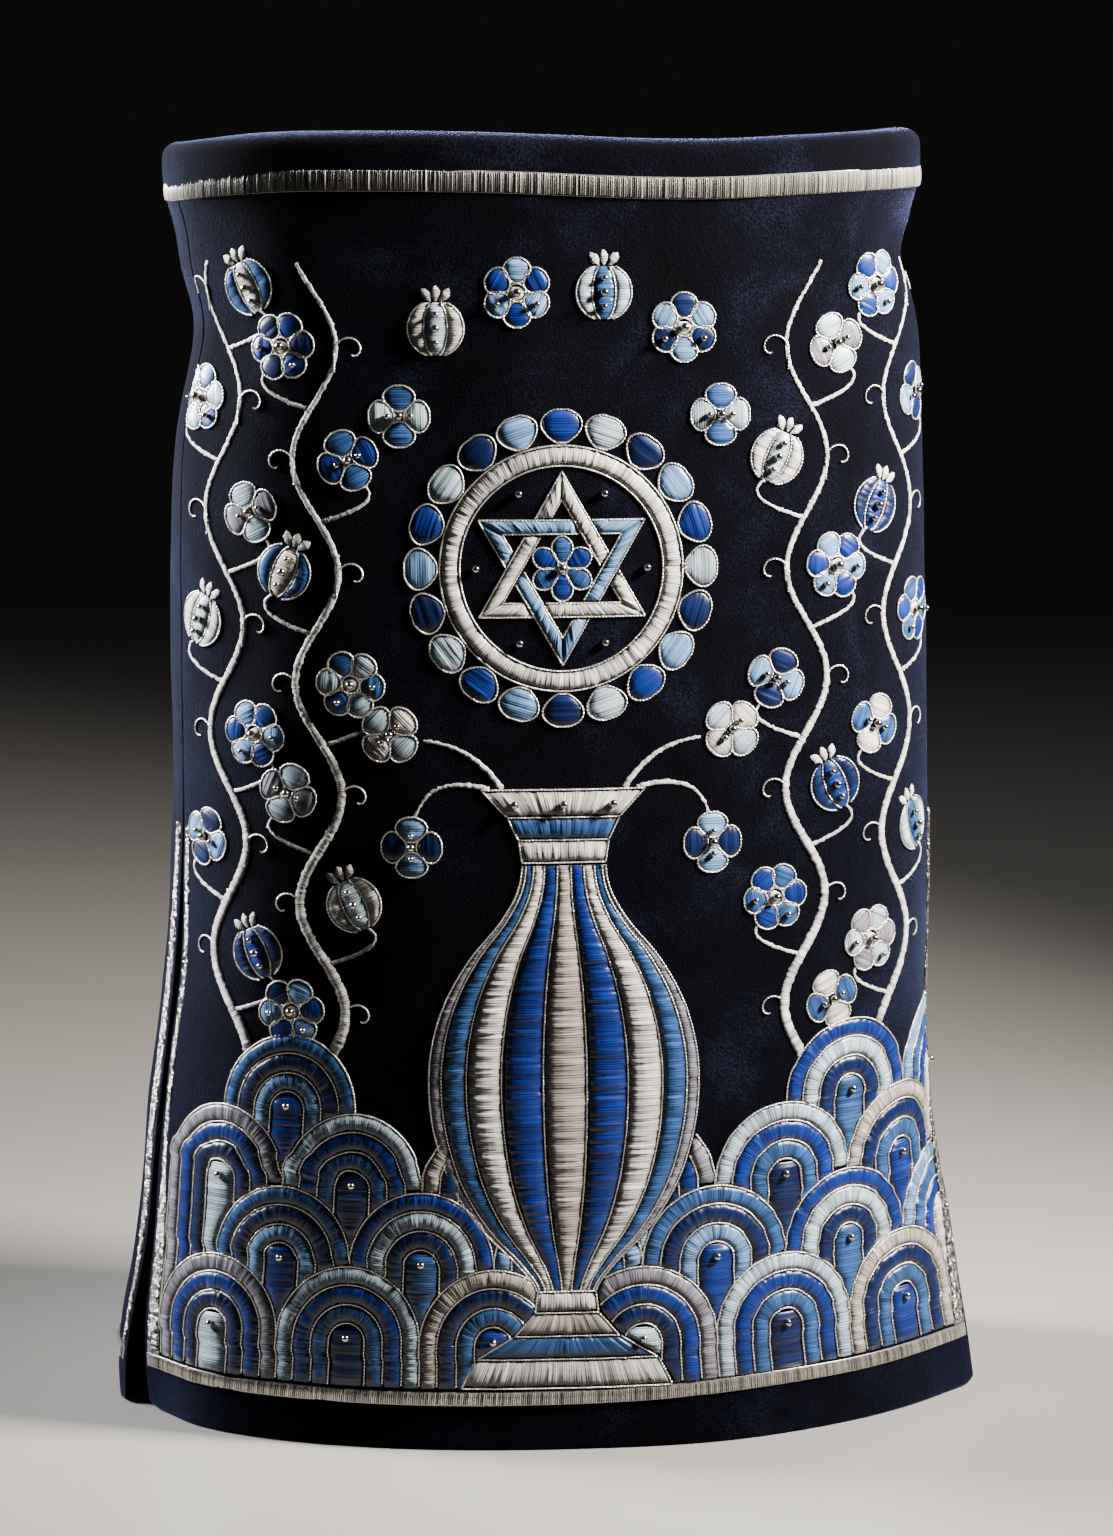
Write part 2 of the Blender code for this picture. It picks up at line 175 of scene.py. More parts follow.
def bump(tree, height, strength, distance, under=None):
    """The normal of a bump, laid over the normal of another where one is given."""
    inputs = {"Strength": strength, "Distance": distance, "Height": height}
    if under is not None:
        inputs["Normal"] = under
    return add_node(tree, "ShaderNodeBump", inputs).outputs["Normal"]


def new_finish(name, **sockets):
    """A material with a Principled shader whose constant sockets are set, and its node tree."""
    material = bpy.data.materials.new(name)
    material.use_nodes = True
    shader = material.node_tree.nodes["Principled BSDF"]
    for key, value in sockets.items():
        shader.inputs[key.replace("_", " ")].default_value = value
    return material, material.node_tree, shader


def set_ramp(ramp_node, stops):
    """Sets a colour ramp to (place, colour) stops."""
    elements = ramp_node.color_ramp.elements
    while len(elements) > 1:
        elements.remove(elements[-1])
    for index, (place, colour) in enumerate(stops):
        element = elements[0] if index == 0 else elements.new(place)
        element.position = place
        element.color = (*colour, 1.0)


print("node helpers ready")

# %% [markdown]
# ## Floor and backdrop
# A studio picture hides the line between floor and wall with one sheet that curves up behind the
# object. The sweep is a profile of points moved from side to side, with a pale, softly glossy
# finish. So large a sheet throws a lot of light up, which would grey the dark cloth, so the floor
# is hidden from the cloth's diffuse rays and still shows and takes its shadow.

# %% Floor
SWEEP_FRONT, SWEEP_BEND, SWEEP_RADIUS, SWEEP_TOP, SWEEP_HALF = -14.0, 4.2, 1.6, 7.0, 12.0
SWEEP_TURNS = 12
FLOOR_DROP = 0.0003
profile = [(SWEEP_FRONT, 0.0), (0.0, 0.0), (SWEEP_BEND, 0.0)]
for turn in np.linspace(0.0, math.pi / 2.0, SWEEP_TURNS + 1)[1:]:
    profile.append((SWEEP_BEND + SWEEP_RADIUS * math.sin(turn), SWEEP_RADIUS * (1 - math.cos(turn))))
profile.append((SWEEP_BEND + SWEEP_RADIUS, SWEEP_TOP))
points = [(x, y, z - FLOOR_DROP) for y, z in profile for x in (-SWEEP_HALF, SWEEP_HALF)]
faces = [(2 * i, 2 * i + 1, 2 * i + 3, 2 * i + 2) for i in range(len(profile) - 1)]
floor_finish, _, _ = new_finish(
    "pale_floor", Base_Color=(0.215, 0.203, 0.186, 1.0), Roughness=0.32, Specular_IOR_Level=0.5)
floor = new_piece("studio_floor", points, faces, floor_finish)
floor.visible_diffuse = False
print("floor points:", len(points))

# %% [markdown]
# ## Lights
# Velvet shows its colour where light grazes it, and satin stitch glints where light runs across its
# threads. A small strong lamp high on the right wakes the threads. A weaker one behind on the left
# rakes the velvet's side, and both are narrowed by their spread, so that the upper left stays in
# shade. Two faint lamps and a faint sky keep the shadows open.

# %% Lights
MIDDLE = (0.0, 0.0, 0.32)
WHITE = (1.0, 1.0, 1.0)
# Name, place, target, size, watts, colour and spread in degrees
LAMPS = (
    ("key_right", (1.02, -0.34, 1.12), (0.10, 0.0, 0.52), (0.26, 0.26), 47.0, (1.0, 0.955, 0.90), 85.0),
    ("rake_left", (-1.10, 0.36, 0.92), (-0.19, 0.0, 0.50), (0.4, 0.6), 20.0, (0.94, 0.96, 1.0), 50.0),
    ("fill_front", (-0.2, -2.2, 2.2), MIDDLE, (1.2, 0.8), 1.2, WHITE, 180.0),
    ("top_back", (0.2, 1.1, 1.7), MIDDLE, (1.4, 0.5), 12.0, WHITE, 180.0),
)
SKY_COLOUR, SKY_STRENGTH = (0.92, 0.94, 1.0, 1.0), 0.022

for name, place, target, size, watts, colour, spread in LAMPS:
    data = bpy.data.lights.new(name, "AREA")
    data.shape = "RECTANGLE"
    data.size, data.size_y = size
    data.energy = watts
    data.color = colour
    data.spread = math.radians(spread)
    lamp = put(name, data)
    lamp.location = place
    aim = Vector(target) - Vector(place)
    lamp.rotation_euler = aim.to_track_quat("-Z", "Y").to_euler()
world = bpy.data.worlds.new("studio")
world.use_nodes = True
sky = world.node_tree.nodes["Background"].inputs
sky["Color"].default_value = SKY_COLOUR
sky["Strength"].default_value = SKY_STRENGTH
bpy.context.scene.world = world

# %% [markdown]
# ## Velvet finish
# Velvet is a short upright pile. Seen straight on it swallows light, and at a grazing angle the tips
# of the pile glow, which the shader's sheen gives. The pile is never brushed one way all over, so a
# broad noise shifts the colour in soft marks, a fine one speckles single tufts, and both feed the
# bump. The noises read Object coordinates, because every piece lies at the origin in metres.

# %% Velvet
VELVET_DEEP = (0.0002, 0.0002, 0.0005)
VELVET_LIT = (0.0006, 0.0007, 0.0022)
VELVET_TIPS = (0.0066, 0.0075, 0.0172)
MARK_SCALE, MARK_RELIEF = 24.0, 0.004
TUFT_SCALE, TUFT_RELIEF = 850.0, 0.0011


def make_velvet():
    velvet, tree, shader = new_finish(
        "navy_velvet", Roughness=0.95, Specular_IOR_Level=0.03, Sheen_Weight=0.36,
        Sheen_Roughness=0.26, Sheen_Tint=(0.23, 0.27, 0.64, 1.0))
    place = add_node(tree, "ShaderNodeTexCoord").outputs["Object"]
    marks = noise_at(tree, place, MARK_SCALE, 3.0, Roughness=0.55, Distortion=0.6)
    tufts = noise_at(tree, place, TUFT_SCALE, 3.0, Roughness=0.75)
    ramp = add_node(tree, "ShaderNodeValToRGB", {"Fac": maths(tree, "MULTIPLY", marks, tufts)})
    set_ramp(ramp, [(0.14, VELVET_DEEP), (0.29, VELVET_LIT), (0.50, VELVET_TIPS)])
    tree.links.new(ramp.outputs["Color"], shader.inputs["Base Color"])
    nap = bump(tree, tufts, 0.8, TUFT_RELIEF)
    crush = bump(tree, marks, 0.20, MARK_RELIEF, nap)
    tree.links.new(crush, shader.inputs["Normal"])
    return velvet


VELVET = make_velvet()
print("velvet nodes:", len(VELVET.node_tree.nodes))

# %% [markdown]
# ## Velvet panels
# The frame's panels are right in outline but faceted. A copy is merged, its triangles are paired
# into quads again, its rim is bevelled so that a cut edge stays 2.5 mm thick, and a Subdivision
# Surface smooths it. Cloth is never even, so the finished points then move in and out by a fraction
# of a millimetre with a slow noise, which breaks up the light along the folds. The heading is rolled
# over the edge of the top, and its roll is fuller at the two ends.

# %% Velvet pieces
RIM_BEVEL = 0.0008
UNEVEN = 0.0007
UNEVEN_SIZE = 0.035
STEADY_HEM = 0.02
SHARP = math.radians(50.0)
PAIR_FACES, PAIR_SHAPE = math.radians(35.0), math.radians(60.0)


def smooth_cloth(node, name, levels, uneven, rim=RIM_BEVEL):
    """A smooth, closed cloth piece from a frame node."""
    mesh = NODES[node].data.copy()
    work = bmesh.new()
    work.from_mesh(mesh)
    bmesh.ops.remove_doubles(work, verts=work.verts, dist=1e-6)
    bmesh.ops.join_triangles(work, faces=work.faces, angle_face_threshold=PAIR_FACES,
                             angle_shape_threshold=PAIR_SHAPE)
    cut = [edge for edge in work.edges if edge.calc_face_angle(0.0) > SHARP]
    bmesh.ops.bevel(work, geom=cut, offset=rim, segments=2, profile=0.5, affect="EDGES",
                    clamp_overlap=True)
    work.to_mesh(mesh)
    work.free()
    mesh.materials.clear()
    mesh.materials.append(VELVET)
    mesh.shade_smooth()
    piece = put(name, mesh)
    if levels:
        finer = piece.modifiers.new("finer", "SUBSURF")
        finer.levels = finer.render_levels = levels
        settle(piece)
    if uneven:
        mesh = piece.data
        spots = read_points(mesh)
        facing = np.empty(spots.size, np.float32)
        mesh.vertex_normals.foreach_get("vector", facing)
        wave = np.array([noise.noise(Vector(spot)) for spot in spots / UNEVEN_SIZE])
        wave *= uneven * np.clip(spots[:, 2] / STEADY_HEM, 0.0, 1.0)
        mesh.vertices.foreach_set("co", (spots + facing.reshape(-1, 3) * wave[:, None]).ravel())
        mesh.update()
    piece.data.shade_smooth()
    return piece


# Places from left to right, and how many metres further out the heading's wall stands there
HEADING_FULLNESS = ((-0.200, 0.0024), (-0.130, 0.0012), (0.0, 0.0), (0.150, 0.0004), (0.195, 0.0012))


def plump_heading(piece):
    """Moves the heading's wall out at its ends, most in the middle of its height."""
    spots = read_points(piece.data)
    low, high = spots[:, 2].min(), spots[:, 2].max()
    places, fullness = zip(*HEADING_FULLNESS)
    out = np.interp(spots[:, 0], places, fullness)
    rise = (spots[:, 2] - low) / (high - low)
    out *= np.maximum(1.0 - (2.0 * rise - 1.0) ** 2, 0.0) ** 0.5
    spots[:, :2] += unit(spots[:, :2]) * out[:, None]
    piece.data.vertices.foreach_set("co", spots.ravel())
    piece.data.update()


front_velvet = smooth_cloth("front_panel", "velvet_front", 2, UNEVEN)
back_velvet = smooth_cloth("back_panel", "velvet_back", 2, UNEVEN)
heading_velvet = smooth_cloth("heading", "velvet_heading", 2, UNEVEN * 0.4)
plump_heading(heading_velvet)
top_velvet = smooth_cloth("top_panel", "velvet_top", 0, 0.0)
for piece in (front_velvet, back_velvet, heading_velvet, top_velvet):
    print(piece.name, "faces:", len(piece.data.polygons))

# %% [markdown]
# ## Measuring the cloth
# Embroidery has to follow every fold. Rays shot at the front panel from all round its axis find the
# outer side of the cloth, row by row, and lengths along each row turn the hits into a sheet of
# places: u runs along the cloth from the middle of the front, v is the height. Anything drawn in u
# and v then lands on the cloth, with the cloth's own normal.

# %% A map of the front panel
MAP_LOW, MAP_HIGH, MAP_STEP_V = 0.022, 0.604, 0.003
MAP_HALF, MAP_STEP_U = 0.270, 0.0025
MAP_TURNS = np.radians(np.arange(-125.0, 125.1, 0.5))
RAY_START, RAY_LENGTH = 0.4, 0.38


def tree_of(piece):
    mesh = piece.data
    corners = [vertex.co for vertex in mesh.vertices]
    return BVHTree.FromPolygons(corners, [tuple(face.vertices) for face in mesh.polygons])


def outer_hit(tree, turn, height):
    """The first point of a piece met from outside, at an angle from the front round the axis."""
    out = Vector((math.sin(turn), -math.cos(turn), 0.0))
    return tree.ray_cast(Vector((0.0, 0.0, height)) + out * RAY_START, -out, RAY_LENGTH)[0]


def map_cloth(piece):
    tree = tree_of(piece)
    heights = np.arange(MAP_LOW, MAP_HIGH, MAP_STEP_V)
    along = np.arange(-MAP_HALF, MAP_HALF + MAP_STEP_U / 2.0, MAP_STEP_U)
    rows, low, high = [], [], []
    for height in heights:
        hits = [(turn, outer_hit(tree, turn, height)) for turn in MAP_TURNS]
        turns, x, y = np.array([(turn, spot.x, spot.y) for turn, spot in hits if spot is not None]).T
        length = np.concatenate([[0.0], np.cumsum(np.hypot(np.diff(x), np.diff(y)))])
        length -= np.interp(0.0, turns, length)
        rows.append(np.column_stack([np.interp(along, length, x), np.interp(along, length, y),
                                     np.full(len(along), height)]))
        low.append(length[0])
        high.append(length[-1])
    spots = np.array(rows)
    facing = np.cross(np.gradient(spots, axis=1), np.gradient(spots, axis=0))
    facing /= np.maximum(np.linalg.norm(facing, axis=2), 1e-9)[..., None]
    return {"heights": heights, "spots": spots, "facing": facing,
            "low": np.array(low), "high": np.array(high)}


front_map = map_cloth(front_velvet)


def read_map(grid, u, v):
    """Reads a grid of the map between its points."""
    row = np.clip((v - MAP_LOW) / MAP_STEP_V, 0.0, len(front_map["heights"]) - 1.001)
    column = np.clip((u + MAP_HALF) / MAP_STEP_U, 0.0, grid.shape[1] - 1.001)
    r, c = row.astype(int), column.astype(int)
    fr, fc = (row - r)[..., None], (column - c)[..., None]
    lower = grid[r, c] * (1.0 - fc) + grid[r, c + 1] * fc
    upper = grid[r + 1, c] * (1.0 - fc) + grid[r + 1, c + 1] * fc
    return lower * (1.0 - fr) + upper * fr


def on_cloth(u, v, out=0.0):
    """Points a way out from the cloth, for places u along it and heights v."""
    u, v, out = np.broadcast_arrays(np.asarray(u, float), np.asarray(v, float), out)
    spots = read_map(front_map["spots"], u, v)
    facing = read_map(front_map["facing"], u, v)
    return spots + facing * np.asarray(out, float)[..., None]


def cloth_edge(v, side):
    """How far the front panel reaches to one side at a height."""
    return np.interp(v, front_map["heights"], front_map["low" if side < 0 else "high"])


print("front cloth: %.0f mm wide at the hem, %.0f mm at the top" % (
    1000 * (front_map["high"][1] - front_map["low"][1]),
    1000 * (front_map["high"][-3] - front_map["low"][-3])))

# %% [markdown]
# ## Thread finishes
# Embroidery thread is a glossy twisted yarn. Each stitch stores where it lies along and across its
# patch and how light its yarn is, painted shade included, in one attribute called stitch, and the
# finish reads that. A noise that is stretched along the yarn gives the fine plies, and the painted
# shade of the dark gaps between stitches comes from the attribute's third value. Metal thread has
# the same build with a metallic base. The foil thread of the side borders is crinkled too: flecks
# tilt its surface, which glints where a smooth thread would only shine, and they also paint its
# colour from dark to bright, which adds painted glints.

# %% Thread materials
PLY_STRETCH = (140.0, 3.1, 1.0)
PLY_RELIEF = 0.00012
PLY_NOISE, PLY_TONE = (0.25, 0.75), (0.70, 1.25)
FLECK_SCALE, FLECK_RELIEF = 400.0, 0.0030
FLECK_NOISE, FLECK_PAINTED_GLINT = (0.36, 0.64), (0.12, 2.40)


def thread_finish(name, colour, metallic=0.0, roughness=0.32, sheen=0.04, glint=0.0):
    material, tree, shader = new_finish(
        name, Roughness=roughness, Metallic=metallic, Specular_IOR_Level=0.42,
        Sheen_Weight=sheen, Sheen_Roughness=0.3)
    stitch = add_node(tree, "ShaderNodeAttribute", attribute_name="stitch")
    parts = add_node(tree, "ShaderNodeSeparateXYZ", {"Vector": stitch.outputs["Vector"]}).outputs
    plies = add_node(tree, "ShaderNodeCombineXYZ", {"X": parts["X"], "Y": parts["Y"], "Z": 0.0})
    stretch = add_node(tree, "ShaderNodeVectorMath", {0: plies.outputs[0], 1: PLY_STRETCH},
                       operation="MULTIPLY")
    grain = noise_at(tree, stretch.outputs[0], 1.0, 2.0, Roughness=0.6)
    lift = map_range(tree, grain, PLY_NOISE, PLY_TONE)
    tint = scaled(tree, colour, maths(tree, "MULTIPLY", lift, parts["Z"]))
    normal = bump(tree, grain, 0.5, PLY_RELIEF)
    if glint:
        place = add_node(tree, "ShaderNodeTexCoord").outputs["Object"]
        flecks = noise_at(tree, place, FLECK_SCALE, 1.0)
        normal = bump(tree, flecks, glint, FLECK_RELIEF, normal)
        # Painted glints and dark specks: the same flecks also scale the foil's colour from 0.12 to 2.4
        # times.
        tint = scaled(tree, tint, map_range(tree, flecks, FLECK_NOISE, FLECK_PAINTED_GLINT))
    tree.links.new(tint, shader.inputs["Base Color"])
    tree.links.new(normal, shader.inputs["Normal"])
    return material


THREADS = {
    "royal": thread_finish("royal_thread", (0.003, 0.018, 0.145)),
    "navy": thread_finish("navy_thread", (0.002, 0.008, 0.052)),
    "mid": thread_finish("mid_blue_thread", (0.021, 0.068, 0.195)),
    "light": thread_finish("light_blue_thread", (0.150, 0.280, 0.510)),
    "ice": thread_finish("ice_thread", (0.390, 0.500, 0.570)),
    "mauve": thread_finish("mauve_grey_thread", (0.205, 0.190, 0.225)),
    "taupe": thread_finish("taupe_thread", (0.360, 0.315, 0.280)),
    "silver": thread_finish("silver_white_thread", (0.630, 0.600, 0.555)),
}
SILVER_BAND = thread_finish("silver_band_thread", (0.430, 0.405, 0.365), 0.75, 0.27, 0.1)
SILVER_FOIL = thread_finish("silver_foil_thread", (0.270, 0.258, 0.240), 0.90, 0.24, 0.0, 0.90)
SILVER_CORD = thread_finish("silver_cord_thread", (0.600, 0.570, 0.510), 0.85, 0.28, 0.0)
print("threads:", sorted(THREADS))

# %% [markdown]
# ## Silver bands
# The bands are satin stitch: threads laid side by side straight across a narrow strip. A smoothed
# copy of the frame's strip is the ground, and rays find its two edges at close steps. Geometry Nodes
# then lays one arched thread on each step: it bends a short curve into a thread, turns it across the
# band and stretches it to the band's width there, so one tree serves level and upright bands alike.

# %% Building blocks of the node trees
def new_tree(name, **sockets):
    """An empty node tree with named inputs, and its input and output nodes."""
    tree = bpy.data.node_groups.new(name, "GeometryNodeTree")
    tree.interface.new_socket("Geometry", in_out="INPUT", socket_type="NodeSocketGeometry")
    for label, kind in sockets.items():
        tree.interface.new_socket(label.replace("_", " "), in_out="INPUT",
                                  socket_type="NodeSocket" + kind)
    tree.interface.new_socket("Geometry", in_out="OUTPUT", socket_type="NodeSocketGeometry")
    return tree, tree.nodes.new("NodeGroupInput").outputs, tree.nodes.new("NodeGroupOutput")


def named(tree, name, kind):
    node = add_node(tree, "GeometryNodeInputNamedAttribute", {"Name": name}, data_type=kind)
    return node.outputs["Attribute"]


def ring(tree, width, sides):
    """A ring, the section of a thread or cord of this width."""
    half = maths(tree, "MULTIPLY", width, 0.5)
    return add_node(tree, "GeometryNodeCurvePrimitiveCircle",
                    {"Resolution": sides, "Radius": half}).outputs["Curve"]


def sweep(tree, curve, section):
    """A closed tube: a section swept along a curve."""
    return add_node(tree, "GeometryNodeCurveToMesh", {"Curve": curve, "Profile Curve": section,
                                                      "Fill Caps": True}).outputs["Mesh"]


def set_on_points(tree, points, instance, rotation, scale):
    return add_node(tree, "GeometryNodeInstanceOnPoints",
                    {"Points": points, "Instance": instance, "Rotation": rotation,
                     "Scale": scale}).outputs[0]


def end_tree(tree, geometry, material, end):
    """Ends a tree with plain, smooth geometry in the given material."""
    solid = add_node(tree, "GeometryNodeRealizeInstances", {"Geometry": geometry})
    soft = add_node(tree, "GeometryNodeSetShadeSmooth", {"Geometry": solid.outputs[0]})
    done = add_node(tree, "GeometryNodeSetMaterial",
                    {"Geometry": soft.outputs[0], "Material": material})
    tree.links.new(done.outputs[0], end.inputs[0])
    return tree


def run_tree(name, tree, mesh, inputs):
    """Runs a node tree on a mesh and returns the result as a plain mesh object."""
    piece = put(name, mesh)
    grow = piece.modifiers.new("grow", "NODES")
    grow.node_group = tree
    for socket in tree.interface.items_tree:
        if socket.in_out == "INPUT" and socket.name in inputs:
            grow[socket.identifier] = inputs[socket.name]
    settle(piece)
    return piece


def add_values(mesh, **attributes):
    """Stores numbers or vectors on a mesh's points, for a node tree or a finish to read."""
    for key, values in attributes.items():
        values = np.asarray(values, np.float32)
        kind, field = ("FLOAT", "value") if values.ndim == 1 else ("FLOAT_VECTOR", "vector")
        mesh.attributes.new(key, kind, "POINT").data.foreach_set(field, values.ravel())


def line_mesh(name, spots, edges=(), **attributes):
    """A mesh of loose points or lines with attributes, for a node tree to work on."""
    mesh = bpy.data.meshes.new(name)
    mesh.from_pydata([tuple(spot) for spot in spots], edges, [])
    add_values(mesh, **attributes)
    return mesh


print("building blocks ready")

# %% A tree that lays threads across a band
THREAD_PITCH = 0.00105
THREAD_WIDTH = 0.00120
THREAD_RISE = 0.00050
THREAD_SIDES = 4
THREAD_BENDS = 5
REACH_SPREAD = 0.025
LIE_SPREAD = 0.00012
TONE_MEAN, TONE_SPREAD, TONE_LIMITS = 0.90, 0.26, (0.28, 1.45)


def lay_tree():
    tree, start, end = new_tree("lay_threads", Thread_width="Float", Thread_rise="Float",
                                Material="Material")
    peak = maths(tree, "MULTIPLY", start["Thread rise"], 2.0)
    middle = add_node(tree, "ShaderNodeCombineXYZ", {"X": 0.0, "Y": 0.0, "Z": peak})
    bend = add_node(tree, "GeometryNodeCurveQuadraticBezier",
                    {"Resolution": THREAD_BENDS, "Start": (-0.5, 0.0, 0.0),
                     "Middle": middle.outputs[0], "End": (0.5, 0.0, 0.0)})
    section = ring(tree, start["Thread width"], THREAD_SIDES)
    thread = sweep(tree, bend.outputs["Curve"], section)
    turn = add_node(tree, "FunctionNodeAxesToRotation",
                    {"Primary Axis": named(tree, "across", "FLOAT_VECTOR"),
                     "Secondary Axis": named(tree, "outward", "FLOAT_VECTOR")},
                    primary_axis="X", secondary_axis="Z")
    size = add_node(tree, "ShaderNodeCombineXYZ",
                    {"X": named(tree, "reach", "FLOAT"), "Y": 1.0, "Z": 1.0})
    laid = set_on_points(tree, start["Geometry"], thread, turn.outputs[0], size.outputs[0])
    return end_tree(tree, laid, start["Material"], end)


LAY_THREADS = lay_tree()


def lay_threads(name, first, second, outward, material):
    """Threads from each first point to its second point."""
    across = second - first
    reach = np.linalg.norm(across, axis=1)
    count = len(first)
    reach = reach * rng.normal(1.0, REACH_SPREAD, count)
    stitch = np.column_stack([rng.uniform(0.0, 1.0, count), np.arange(count),
                              rng.normal(TONE_MEAN, TONE_SPREAD, count).clip(*TONE_LIMITS)])
    middle = (first + second) / 2.0 + outward * rng.normal(0.0, LIE_SPREAD, count)[:, None]
    mesh = line_mesh(name, middle, across=across, outward=outward, reach=reach, stitch=stitch)
    return run_tree(name, LAY_THREADS, mesh, {
        "Thread width": THREAD_WIDTH, "Thread rise": THREAD_RISE, "Material": material})


print("tree:", LAY_THREADS.name, len(LAY_THREADS.nodes), "nodes")

# %% [markdown]
# ## Finding a band's two edges
# A level band is swept by angle: at each angle the rays look for the lowest and the highest height
# that still meets the strip. An upright border is swept by height in the same way, and the rays look
# for its first and last angle. The edges are then evened out over a few neighbours.

# %% Edges of the bands
EDGE_IN = 0.0004
EDGE_STEP = 0.0005
EVEN_SPAN = 9
LEAST_LEVEL_HITS, LEAST_UPRIGHT_HITS = 4, 3
UPRIGHT_LOW, UPRIGHT_HIGH, UPRIGHT_STEP = 0.0006, 0.0004, 0.002
TURN_MARGIN, TURN_STEP = 0.01, 0.0015
UPRIGHT_IN = 0.05


def strip_hits(tree, turns, heights):
    """The places where rays at these angles and heights meet a strip."""
    met = [outer_hit(tree, turn, height) for turn in turns for height in heights]
    return [spot for spot in met if spot is not None]


def evened(values, ring_shaped):
    half = EVEN_SPAN // 2
    padded = np.pad(values, ((half, half), (0, 0)), mode="wrap" if ring_shaped else "edge")
    return np.array([padded[i:i + EVEN_SPAN].mean(axis=0) for i in range(len(values))])


def spread_out(first, second, outward, ring_shaped=False):
    """Reads the edges again at the thread's pitch."""
    middle = (first + second) / 2.0
    if ring_shaped:
        first, second, outward, middle = (np.vstack([a, a[:1]])
                                          for a in (first, second, outward, middle))
    length = lengths_along(middle)
    places = np.arange(THREAD_PITCH / 2.0, length[-1], THREAD_PITCH)
    return [np.column_stack([np.interp(places, length, a[:, i]) for i in range(3)])
            for a in (first, second, outward)]


def level_edges(node, turns, ring_shaped=False):
    """The lower and upper edge of a level band, and the way out of the cloth along it."""
    tree = tree_of(NODES[node])
    box_low, box_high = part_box(node)
    heights = np.arange(box_low.z - EDGE_STEP, box_high.z + EDGE_STEP, EDGE_STEP)
    rows = [strip_hits(tree, [turn], heights) for turn in turns]
    rows = [met for met in rows if len(met) >= LEAST_LEVEL_HITS]
    inset = Vector((0.0, 0.0, EDGE_IN))
    first = np.array([met[0] + inset for met in rows])
    second = np.array([met[-1] - inset for met in rows])
    outward = unit(np.cross(np.gradient((first + second) / 2.0, axis=0), second - first))
    return spread_out(evened(first, ring_shaped), evened(second, ring_shaped), outward, ring_shaped)


def upright_edges(node):
    """The two sides of an upright border, and the way out of the cloth along it."""
    tree = tree_of(NODES[node])
    box_low, box_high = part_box(node)
    corners = np.array([vertex.co for vertex in NODES[node].data.vertices])
    angles = np.arctan2(corners[:, 0], -corners[:, 1])
    turns = np.arange(angles.min() - TURN_MARGIN, angles.max() + TURN_MARGIN, TURN_STEP)
    heights = np.arange(box_low.z + UPRIGHT_LOW, box_high.z - UPRIGHT_HIGH, UPRIGHT_STEP)
    rows = [strip_hits(tree, turns, [height]) for height in heights]
    rows = [met for met in rows if len(met) >= LEAST_UPRIGHT_HITS]
    first, second = (evened(np.array([met[end] for met in rows]), False) for end in (0, -1))
    across = second - first
    first, second = first + across * UPRIGHT_IN, second - across * UPRIGHT_IN
    outward = unit(np.cross(across, np.gradient((first + second) / 2.0, axis=0)))
    return spread_out(first, second, outward)


print("evened over", EVEN_SPAN, "neighbours")

# %% [markdown]
# ## Sewing the bands on
# Each band is pressed a little into the pile, so that it lies flush with the velvet. A side border
# looks narrower where its panel's edge turns away, so a short table gives the share of the frame's
# width that it keeps at some heights, measured from the side of the slit. The side borders are sewn
# in the glinting foil thread.

# %% The bands
RING_TURNS = np.radians(np.arange(0.0, 360.0, 0.5))
FRONT_TURNS = np.radians(np.arange(-128.0, 128.1, 0.4))
BACK_TURNS = np.radians(np.arange(52.0, 308.1, 0.4))
# Heights, and the share of its full width that a border has there
BORDER_WIDTHS = {
    "front_side_border_left": ((0.085, 1.15), (0.145, 0.60), (0.300, 0.50)),
    "back_side_border_left": ((0.060, 0.50), (0.105, 1.15), (0.200, 1.10), (0.300, 0.80)),
    "front_side_border_right": ((0.050, 1.25), (0.300, 1.10)),
}
SLIT_SIDE_FIRST = ("front_side_border_left", "back_side_border_right")
BAND_SINK = 0.0013
GROUND_RIM = 0.0003
# The ground shows only between the band's threads; its colour is 0.55 of the thread's, painted shade
# between the threads.
GROUND_STITCH_PAINTED_SHADE = (0.0, 0.0, 0.55)


def make_band(node, name, edges, thread=SILVER_BAND):
    """A band: its smooth ground and its threads as one piece, pressed a little into the pile."""
    ground = smooth_cloth(node, name, 1, 0.0, rim=GROUND_RIM)
    ground.data.materials.clear()
    ground.data.materials.append(thread)
    add_values(ground.data, stitch=[GROUND_STITCH_PAINTED_SHADE] * len(ground.data.vertices))
    first, second, outward = edges
    kept, other = (first, second) if node in SLIT_SIDE_FIRST else (second, first)
    across = other - kept
    stretch = np.zeros(len(kept))
    if node in BORDER_WIDTHS:
        heights, shares = zip(*BORDER_WIDTHS[node])
        stretch = np.interp(kept[:, 2], heights, shares) - 1.0
    spots = read_points(ground.data).astype(float)
    middle = (first + second) / 2.0
    near = np.array([np.argmin(((middle - spot) ** 2).sum(axis=1)) for spot in spots])
    share = ((spots - kept[near]) * across[near]).sum(axis=1) / (across[near] ** 2).sum(axis=1)
    spots += across[near] * (share * stretch[near])[:, None] - outward[near] * BAND_SINK
    ground.data.vertices.foreach_set("co", spots.ravel())
    kept = kept - outward * BAND_SINK
    other = kept + across * (1.0 + stretch)[:, None]
    threads = lay_threads(name + "_threads", kept, other, outward, thread)
    with bpy.context.temp_override(active_object=ground, selected_editable_objects=[ground, threads]):
        bpy.ops.object.join()
    print(name, "faces:", len(ground.data.polygons))
    return ground


top_band = make_band("top_band", "silver_top_band", level_edges("top_band", RING_TURNS, True))
front_hem = make_band("front_hem_border", "silver_front_hem",
                      level_edges("front_hem_border", FRONT_TURNS))
back_hem = make_band("back_hem_border", "silver_back_hem",
                     level_edges("back_hem_border", BACK_TURNS))
side_borders = {}
for panel in ("front", "back"):
    for side in ("left", "right"):
        node = panel + "_side_border_" + side
        side_borders[node] = make_band(node, "silver_" + node, upright_edges(node), SILVER_FOIL)
